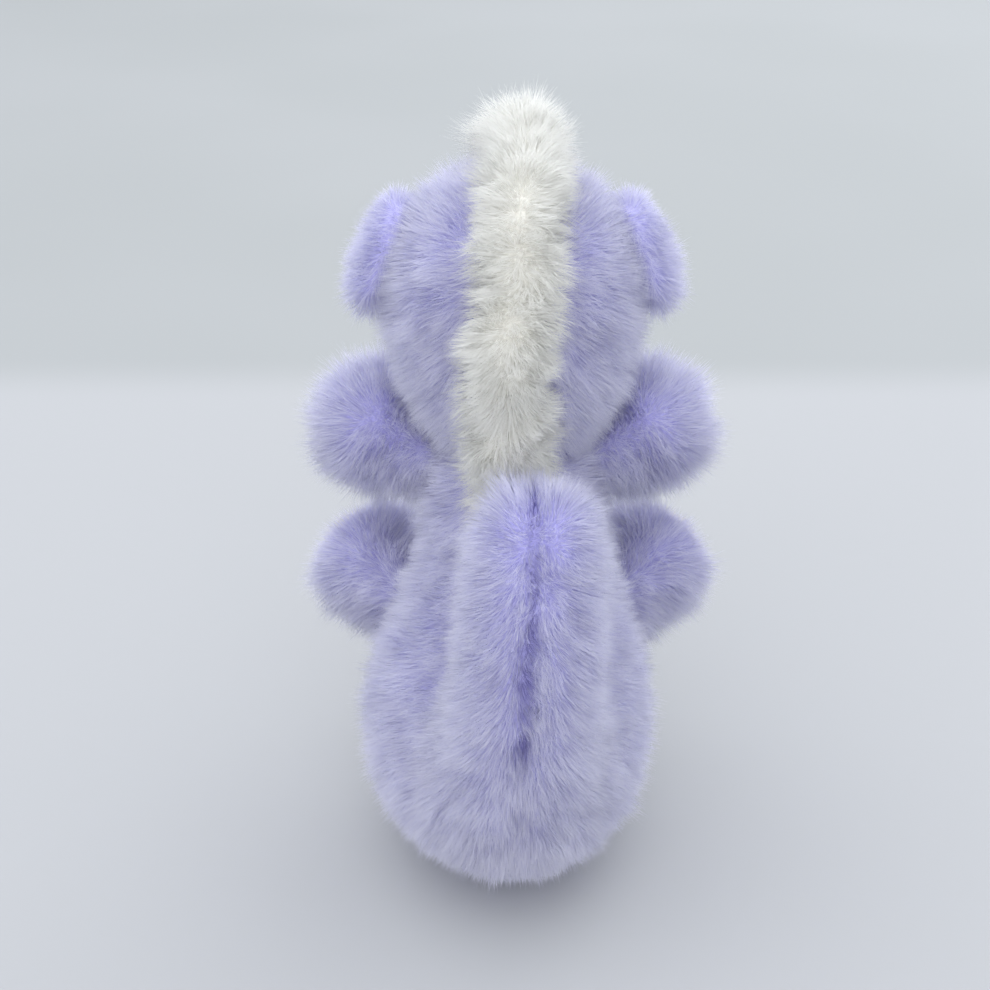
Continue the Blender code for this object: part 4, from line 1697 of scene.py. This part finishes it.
@dataclass
class Crest:
    """The tufted cream strip from the brow over the head and down the back."""

    head: Head
    rump: Rump
    half_width: float = 6.3 * MM
    head_half: float = 6.2 * MM
    back_half: float = 3.6 * MM
    segments: int = 22
    brow_end: float = 166 * MM
    lobe_pitch: float = 13 * MM
    wander_mm: tuple[float, ...] = (0.0, 0.8, 1.6, 1.4, -0.6, -2.8, -1.2, 0.0)
    blend_from: tuple[float, float, float] = (0.0, 0.012, 0.096)
    blend_to: tuple[float, float, float] = (0.0, 0.012, 0.140)
    back_end: float = 74 * MM
    off_skin: float = 1.2 * MM
    stations: int = 46
    pile: Pile = Pile(
        7.4 * MM,
        7.6,
        0.12 * MM,
        (8.0, 30.0),
        ruffle=1.2,
        tuft=0.15,
        tuft_size=2.6 * MM,
        mottle=0.03,
    )

    def line(self) -> tuple[np.ndarray, np.ndarray, np.ndarray]:
        """The line on the back and head that the strip is sewn along.

        Returns:
            Its points from the back's foot to the brow, the ways out of the
            skin there and the strip's half height there.
        """
        neck = self.rump.levels[self.rump.levels[:, 0] > self.back_end][:-2]
        nape = self.head.levels[2:-1]
        top = self.head.levels[-1]
        brow = nape[nape[:, 0] > self.brow_end][::-1]
        behind = [(0.0, row[3] + row[2] + self.off_skin, row[0]) for row in (*neck, *nape)]
        before = [(0.0, row[3] - row[2] - self.off_skin, row[0]) for row in brow]
        spots = through([*behind, (0.0, top[3], top[0] + 1.0 * MM), *before], self.stations)
        ways = unit(np.gradient(spots, axis=0))
        out = unit(np.cross(ways, ACROSS))
        high = ease(spots[:, 2], 100 * MM, 132 * MM)
        half = self.back_half + (self.head_half - self.back_half) * high
        return spots, out, half

    def rings(self) -> np.ndarray:
        """The strip's rings: lobed along its edges and wandering a little to each side."""
        spots, out, half = self.line()
        count = len(spots)
        along = np.concatenate(([0], np.cumsum(np.linalg.norm(np.diff(spots, axis=0), axis=1))))
        share = np.arange(count) / (count - 1)
        end = np.minimum(ease(share, -0.04, 0.07), 1 - ease(share, 0.84, 1.04))
        size = 0.34 + 0.66 * end
        stops = np.linspace(0, 1, len(self.wander_mm))
        wander = np.interp(share, stops, self.wander_mm) * MM + 0.5 * MM * np.sin(along / (5.3 * MM))
        width = self.half_width * size
        height = half * size * (1 + 0.10 * np.sin(along / (4.4 * MM) + 2))
        middles = spots + out * (height + 0.4 * MM)[:, None]
        halves = np.stack((width, height), axis=1)
        rings = rings_about(middles, ACROSS, out, halves, self.segments)
        left = rings[:, :, 0] > 0
        rings[:, :, 0] *= np.where(left, self.lobes(along, 0.0), self.lobes(along, 1.3))
        rings[:, :, 0] += wander[:, None]
        return rings

    def lobes(self, along: np.ndarray, phase: float) -> np.ndarray:
        """Rounded lobes with sharp notches between them, down one edge of the strip."""
        turn = math.pi * along / self.lobe_pitch + phase + 0.6 * np.sin(along / (9 * MM))
        return (0.76 + 0.36 * np.abs(np.sin(turn)) ** 0.6)[:, None]

    def comb(self, points: np.ndarray, normals: np.ndarray) -> np.ndarray:
        """Down the strip and a little to its sides."""
        way = np.zeros_like(points)
        way[:, 0] = 0.6 * np.clip(points[:, 0] / (5 * MM), -1, 1)
        way[:, 2] = -0.8
        return lying(way, normals)

    def build(self, finishes: Finishes) -> None:
        """Builds the strip and its pile in three pieces: back, nape and head.

        Args:
            finishes: The toy's materials.
        """
        filling = Stuffing(voxel=1.8 * MM, swell=1.0 * MM)
        core = filling.fill("crest_core", self.rings(), finishes.cream_cloth)
        place = bender()
        place(core)
        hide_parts("crest_head", "crest_back")

        def groom(roots: np.ndarray) -> tuple[np.ndarray, np.ndarray]:
            """Full length all over, in tufts of uneven height."""
            uneven = 1 + 0.16 * drift(roots, 8 * MM, Seed.CREST_HEIGHT)[:, 0]
            return uneven, 0.04 * drift(roots, 6 * MM, Seed.CREST_TONE)[:, 1]

        strands = self.pile.grow(Skin.of(core), self.comb, groom, Seed.CREST)
        height = strands.stations[:, 0, 2]
        low, high = self.blend_from[2], self.blend_to[2]
        lengths = {
            "crest_pile_back": height < low,
            "crest_pile_nape": (height >= low) & (height < high),
            "crest_pile_head": height >= high,
        }
        for name, mask in lengths.items():
            plant(name, strands.where(mask), finishes.cream, self.pile.width, place)


@dataclass
class Ear:
    """A lined flap that hangs beside the head."""

    side: Side
    pivot: np.ndarray
    length: float = 24.6 * MM
    half_width: float = 9.6 * MM
    half_thick: float = 4.2 * MM
    lean: float = math.radians(21)
    stations: tuple[tuple[float, float, float], ...] = (
        (-0.11, 0.62, 0.5),
        (0.0, 0.76, 1.0),
        (0.30, 0.95, 1.0),
        (0.55, 1.0, 1.0),
        (0.78, 0.86, 0.92),
        (0.93, 0.56, 0.66),
        (0.985, 0.26, 0.32),
    )
    hinge_trim: Trim = Trim(0.7, -174 * MM, -166 * MM)
    pile: Pile = Pile(6.2 * MM, lean=(12.0, 32.0))

    def rings(self) -> np.ndarray:
        """The flap's rings from its hinge to its tip."""
        down = self.side.mirror((math.sin(self.lean), 0.0, -math.cos(self.lean)))
        rows = through(self.stations, 16)
        middles = self.pivot + np.outer(rows[:, 0] * self.length, down)
        halves = rows[:, 1:] * (self.half_width, self.half_thick)
        return rings_about(middles, FRONT, np.cross(FRONT, down), halves, 24)

    def build(self, finishes: Finishes) -> None:
        """Builds the padded flap and its pile.

        Args:
            finishes: The toy's materials.
        """
        name = self.side.value
        filling = Stuffing(voxel=1.5 * MM, swell=0.8 * MM)
        pelt = filling.fill(f"ear_pelt_{name}", self.rings(), finishes.lavender_cloth)
        place = rider(f"ear_flap_{name}")
        place(pelt)
        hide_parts(f"ear_{name}")

        def groom(roots: np.ndarray) -> tuple[np.ndarray, np.ndarray]:
            """Full length, a little shorter at the hinge."""
            return self.hinge_trim.share(-roots[:, 2]), np.zeros(len(roots))

        strands = self.pile.grow(Skin.of(pelt), downwards, groom, Seed.EAR + self.side.sign)
        plant(f"ear_pile_{name}", strands, finishes.lavender, self.pile.width, place)


class Stub(Enum):
    """The two kinds of limb."""

    ARM = "arm"
    LEG = "leg"


@dataclass
class Limb:
    """A stub limb: a ball at its hinge that widens to a round paw."""

    kind: Stub
    side: Side
    pivot: np.ndarray
    way: tuple[float, float, float]
    length: float
    root: float
    radius: float
    seed: Seed
    sole: bool = False
    sole_turn: float = 46.0
    sole_fade: float = 26.0
    sole_trim: float = 0.62
    skin_share: float = 0.94
    pile: Pile = Pile(8.8 * MM, lean=(4.0, 20.0))
    sole_pile: Pile = Pile(2.8 * MM, 7.0, 0.14 * MM, (20.0, 42.0), tuft=0.14)

    @classmethod
    def arm(cls, side: Side, pivot: np.ndarray) -> "Limb":
        """An arm held out to the front."""
        way, length, root, radius = (0.85, -0.46, 0.30), 30.5 * MM, 7.5 * MM, 14.7 * MM
        return cls(Stub.ARM, side, pivot, way, length, root, radius, Seed.ARM)

    @classmethod
    def leg(cls, side: Side, pivot: np.ndarray) -> "Limb":
        """A leg held off the table, its sole to the front."""
        way, length, root, radius = (0.64, -0.72, 0.36), 32.2 * MM, 9.0 * MM, 14.0 * MM
        return cls(Stub.LEG, side, pivot, way, length, root, radius, Seed.LEG, sole=True)

    def __post_init__(self) -> None:
        """Finds the limb's direction, its paw's middle and its outline."""
        self.direction = unit(self.side.mirror(self.way))
        to_paw = self.length - self.radius
        self.paw = self.pivot + self.direction * to_paw
        rows = [(self.root * math.sin(t), self.root * math.cos(t)) for t in np.radians((-60, -30))]
        rows.append((self.length * 0.02, self.root))
        rows.append((self.length * 0.30, (self.root + self.radius) / 2))
        rows.append((self.length * 0.52, self.root + (self.radius - self.root) * 0.93))
        for turn in np.radians((12, 32, 50, 66, 80)):
            rows.append((to_paw + self.radius * math.sin(turn), self.radius * math.cos(turn)))
        self.profile = through(rows, 18)

    def name(self, part: str) -> str:
        """The name of a part of the limb, such as leg_pile_left."""
        return f"{self.kind.value}_{part}_{self.side.value}"

    def rings(self) -> np.ndarray:
        """Round rings along the limb, a little inside its finished skin."""
        across = unit(np.cross(self.direction, UP))
        upwards = np.cross(across, self.direction)
        middles = self.pivot + np.outer(self.profile[:, 0], self.direction)
        return rings_about(middles, across, upwards, self.profile[:, 1] * self.skin_share, 28)

    def covers(self, points: np.ndarray) -> np.ndarray:
        """Whether each point is inside the limb."""
        shares = np.linspace(0, self.length - self.radius, 6)
        middles = self.pivot + np.outer(shares, self.direction)
        radii = np.interp(shares, self.profile[:, 0], self.profile[:, 1])
        return within_balls(points, middles, radii, -1.5 * MM)

    def on_sole(self, points: np.ndarray, shrink: float = 0.0) -> np.ndarray:
        """Whether each point is on the round pad at the limb's end."""
        edge = math.cos(math.radians(self.sole_turn) - shrink)
        return unit(points - self.paw) @ self.direction > edge

    def comb(self, points: np.ndarray, normals: np.ndarray) -> np.ndarray:
        """Out along the limb with a little droop, and back from a sole's edge."""
        out = 1.0 if not self.sole else 1 - 1.6 * self.sole_nearness(points)[:, None]
        return lying(self.direction * out + np.array((0.0, 0.0, -0.45)), normals)

    def sole_nearness(self, points: np.ndarray) -> np.ndarray:
        """1 at the sole's edge, fading to 0 down the foot."""
        turn = np.degrees(np.arccos(np.clip(unit(points - self.paw) @ self.direction, -1, 1)))
        return 1 - ease(turn, self.sole_turn, self.sole_turn + self.sole_fade)

    def build(self, finishes: Finishes, body_holds: Covers) -> None:
        """Builds the padded limb, its sole and its pile.

        Args:
            finishes: The toy's materials.
            body_holds: Tests for points inside the body.
        """
        body = f"{self.kind.value}_{self.side.value}"
        filling = Stuffing(swell=1.4 * MM)
        pelt = filling.fill(self.name("pelt"), self.rings(), finishes.lavender_cloth)
        place = rider(body)
        place(pelt)
        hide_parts(self.name("skin"), self.name("stuffing"))

        def groom(roots: np.ndarray) -> tuple[np.ndarray, np.ndarray]:
            """None inside the body or on the sole."""
            share = 1.0 * ~body_holds(roots, -2.0 * MM)
            if self.sole:
                share *= ~self.on_sole(roots)
                share *= 1 - self.sole_trim * self.sole_nearness(roots)
            return share, np.zeros(len(roots))

        skin = Skin.of(pelt)
        strands = self.pile.grow(skin, self.comb, groom, self.seed + self.side.sign)
        plant(self.name("pile"), strands, finishes.lavender, self.pile.width, place)
        if self.sole:
            self.build_sole(finishes, pelt, skin, rider(body))

    def build_sole(
        self, finishes: Finishes, pelt: bpy.types.Object, skin: Skin, place: Place
    ) -> None:
        """Builds the foot's pad in short pile.

        Args:
            finishes: The toy's materials.
            pelt: The padded leg.
            skin: The leg's skin.
            place: Puts a piece on the leg.
        """
        side = self.side.value
        pad = patch(f"sole_pad_{side}", pelt, self.on_sole, finishes.panel_cloth, place)
        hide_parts(f"sole_{side}")

        def groom(roots: np.ndarray) -> tuple[np.ndarray, np.ndarray]:
            """Only on the pad."""
            return 1.0 * self.on_sole(roots, 0.06), np.zeros(len(roots))

        strands = self.sole_pile.grow(skin, self.comb, groom, Seed.SOLE + self.side.sign)
        plant(f"sole_pile_{side}", strands, finishes.short, self.sole_pile.width, place)


# ---------------------------------------------------------------- studio


@dataclass
class Studio:
    """A pale sweep of paper, soft lamps and the camera."""

    camera_place: tuple[float, float, float] = (0.0046, 0.3882, 0.3045)
    camera_tilt: float = math.radians(27)
    lens_mm: float = 62.77
    sensor_mm: float = 36.0
    floor_half: float = 4.0
    paper_edge: float = -0.32
    fill_from: tuple[float, float, float] = (0.16, 1.0, 0.22)
    fill_spread: float = 80.0
    fill_strength: float = 1.25
    fill_tint: Colour = (1.0, 0.99, 0.98)
    backdrop: Colour = (0.56, 0.60, 0.63)
    sky: Colour = (0.86, 0.89, 0.93)
    sky_strength: float = 1.58
    paper: Colour = (0.385, 0.391, 0.405)
    paper_beyond: Colour = (0.325, 0.337, 0.343)
    paper_grain: Colour = (0.376, 0.383, 0.398)
    aim: tuple[float, float, float] = (0.0, 0.0, 0.08)

    def floor_material(self) -> bpy.types.Material:
        """Pale paper, a shade cooler beyond the table's edge."""
        made = bpy.data.materials.new("studio_paper")
        made.use_nodes = True
        tree = made.node_tree
        place = tree.nodes.new("ShaderNodeTexCoord").outputs["Object"]
        parts = tree.nodes.new("ShaderNodeSeparateXYZ")
        tree.links.new(place, parts.inputs[0])
        limits = (self.paper_edge - 0.03, self.paper_edge + 0.02, 1, 0)
        beyond = range_node(tree, parts.outputs[1], limits)
        paper = blend_node(tree, beyond, (*self.paper, 1), (*self.paper_beyond, 1))
        grain = tree.nodes.new("ShaderNodeTexNoise")
        grain.inputs["Scale"].default_value = 3.0
        tree.links.new(place, grain.inputs["Vector"])
        faint = range_node(tree, grain.outputs[0], (0.3, 0.7, 0, 0.25))
        tinted = blend_node(tree, faint, paper, (*self.paper_grain, 1))
        shader = tree.nodes["Principled BSDF"]
        tree.links.new(tinted, shader.inputs["Base Color"])
        shader.inputs["Roughness"].default_value = 0.9
        shader.inputs["Specular IOR Level"].default_value = 0.1
        return made

    def build_floor(self) -> None:
        """A wide floor, which isn't part of the toy."""
        form = bmesh.new()
        bmesh.ops.create_grid(form, x_segments=8, y_segments=8, size=self.floor_half)
        name = "studio_floor"
        new_object(name, drawn(name, form), self.floor_material())

    def add_lamp(
        self, name: str, place: Sequence[float], size: float, watts: float, tint: Colour
    ) -> None:
        """Adds a square soft lamp aimed at the toy's middle.

        Args:
            name: The lamp's name.
            place: Where it hangs.
            size: The length of its side.
            watts: Its power.
            tint: Its colour.
        """
        lamp = bpy.data.lights.new(name, "AREA")
        lamp.shape = "SQUARE"
        lamp.size = size
        lamp.energy = watts
        lamp.color = tint
        made = bpy.data.objects.new(name, lamp)
        made.location = place
        aim = Vector(self.aim) - Vector(place)
        made.rotation_euler = aim.to_track_quat("-Z", "Y").to_euler()
        bpy.context.scene.collection.objects.link(made)

    def add_fill(self) -> None:
        """An even light over the whole room from behind the toy, with no hot spot."""
        fill = bpy.data.lights.new("soft_fill", "SUN")
        fill.energy = self.fill_strength
        fill.angle = math.radians(self.fill_spread)
        fill.color = self.fill_tint
        made = bpy.data.objects.new("soft_fill", fill)
        made.rotation_euler = (-Vector(self.fill_from)).to_track_quat("-Z", "Y").to_euler()
        bpy.context.scene.collection.objects.link(made)

    def add_room_light(self) -> None:
        """Surrounds the toy with pale light, in front of a plainer backdrop."""
        world = bpy.data.worlds.new("studio_light")
        world.use_nodes = True
        tree = world.node_tree
        sky = tree.nodes["Background"]
        sky.inputs["Color"].default_value = (*self.sky, 1)
        sky.inputs["Strength"].default_value = self.sky_strength
        seen = tree.nodes.new("ShaderNodeBackground")
        seen.inputs["Color"].default_value = (*self.backdrop, 1)
        rays = tree.nodes.new("ShaderNodeLightPath")
        either = tree.nodes.new("ShaderNodeMixShader")
        tree.links.new(rays.outputs["Is Camera Ray"], either.inputs[0])
        tree.links.new(sky.outputs[0], either.inputs[1])
        tree.links.new(seen.outputs[0], either.inputs[2])
        tree.links.new(either.outputs[0], tree.nodes["World Output"].inputs["Surface"])
        bpy.context.scene.world = world
        bpy.context.scene.view_settings.view_transform = "Standard"

    def add_camera(self) -> None:
        """Places the camera behind and above the toy."""
        lens = bpy.data.cameras.new("studio_camera")
        lens.sensor_width = self.sensor_mm
        lens.lens = self.lens_mm
        lens.clip_start, lens.clip_end = 0.01, 20.0
        camera = bpy.data.objects.new("studio_camera", lens)
        camera.location = self.camera_place
        camera.rotation_euler = (math.pi / 2 - self.camera_tilt, 0, math.pi)
        bpy.context.scene.collection.objects.link(camera)
        bpy.context.scene.camera = camera

    def build(self) -> None:
        """Builds the floor, the lamps, the surrounding light and the camera."""
        self.build_floor()
        self.add_lamp("soft_overhead", (0.15, 0.35, 1.5), 1.8, 6.5, (1.0, 1.0, 1.0))
        self.add_lamp("soft_front", (-0.6, -1.1, 0.9), 1.2, 5.0, (0.97, 0.98, 1.0))
        self.add_fill()
        self.add_room_light()
        self.add_camera()


def main() -> None:
    """Builds every sub-assembly in order."""
    logging.basicConfig(level=logging.INFO, format="%(name)s %(message)s")
    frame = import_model()
    Studio().build()
    finishes = Finishes()
    repaint(frame["nodes"]["base_panel"], finishes.panel_cloth)
    joints = frame["record"]["behaviour"]["joints"]
    pivots = {joint["child"]: np.array(joint["pos_m"], float) for joint in joints}
    rump, tail, head = Rump(), Tail(), Head()
    face = Face(head)
    limbs = [
        make(side, pivots[f"{stub.value}_{side.value}"])
        for side in Side
        for stub, make in ((Stub.ARM, Limb.arm), (Stub.LEG, Limb.leg))
    ]
    rump.build(finishes, [tail.covers, head.covers, *(limb.covers for limb in limbs)], tail.depth)
    tail.build(finishes, rump)
    head.build(finishes, face.eye_spots())
    face.build(finishes, frame["nodes"])
    Crest(head, rump).build(finishes)
    for side in Side:
        Ear(side, pivots[f"ear_flap_{side.value}"]).build(finishes)
    for limb in limbs:
        limb.build(finishes, rump.holds)


if __name__ == "__main__":
    main()
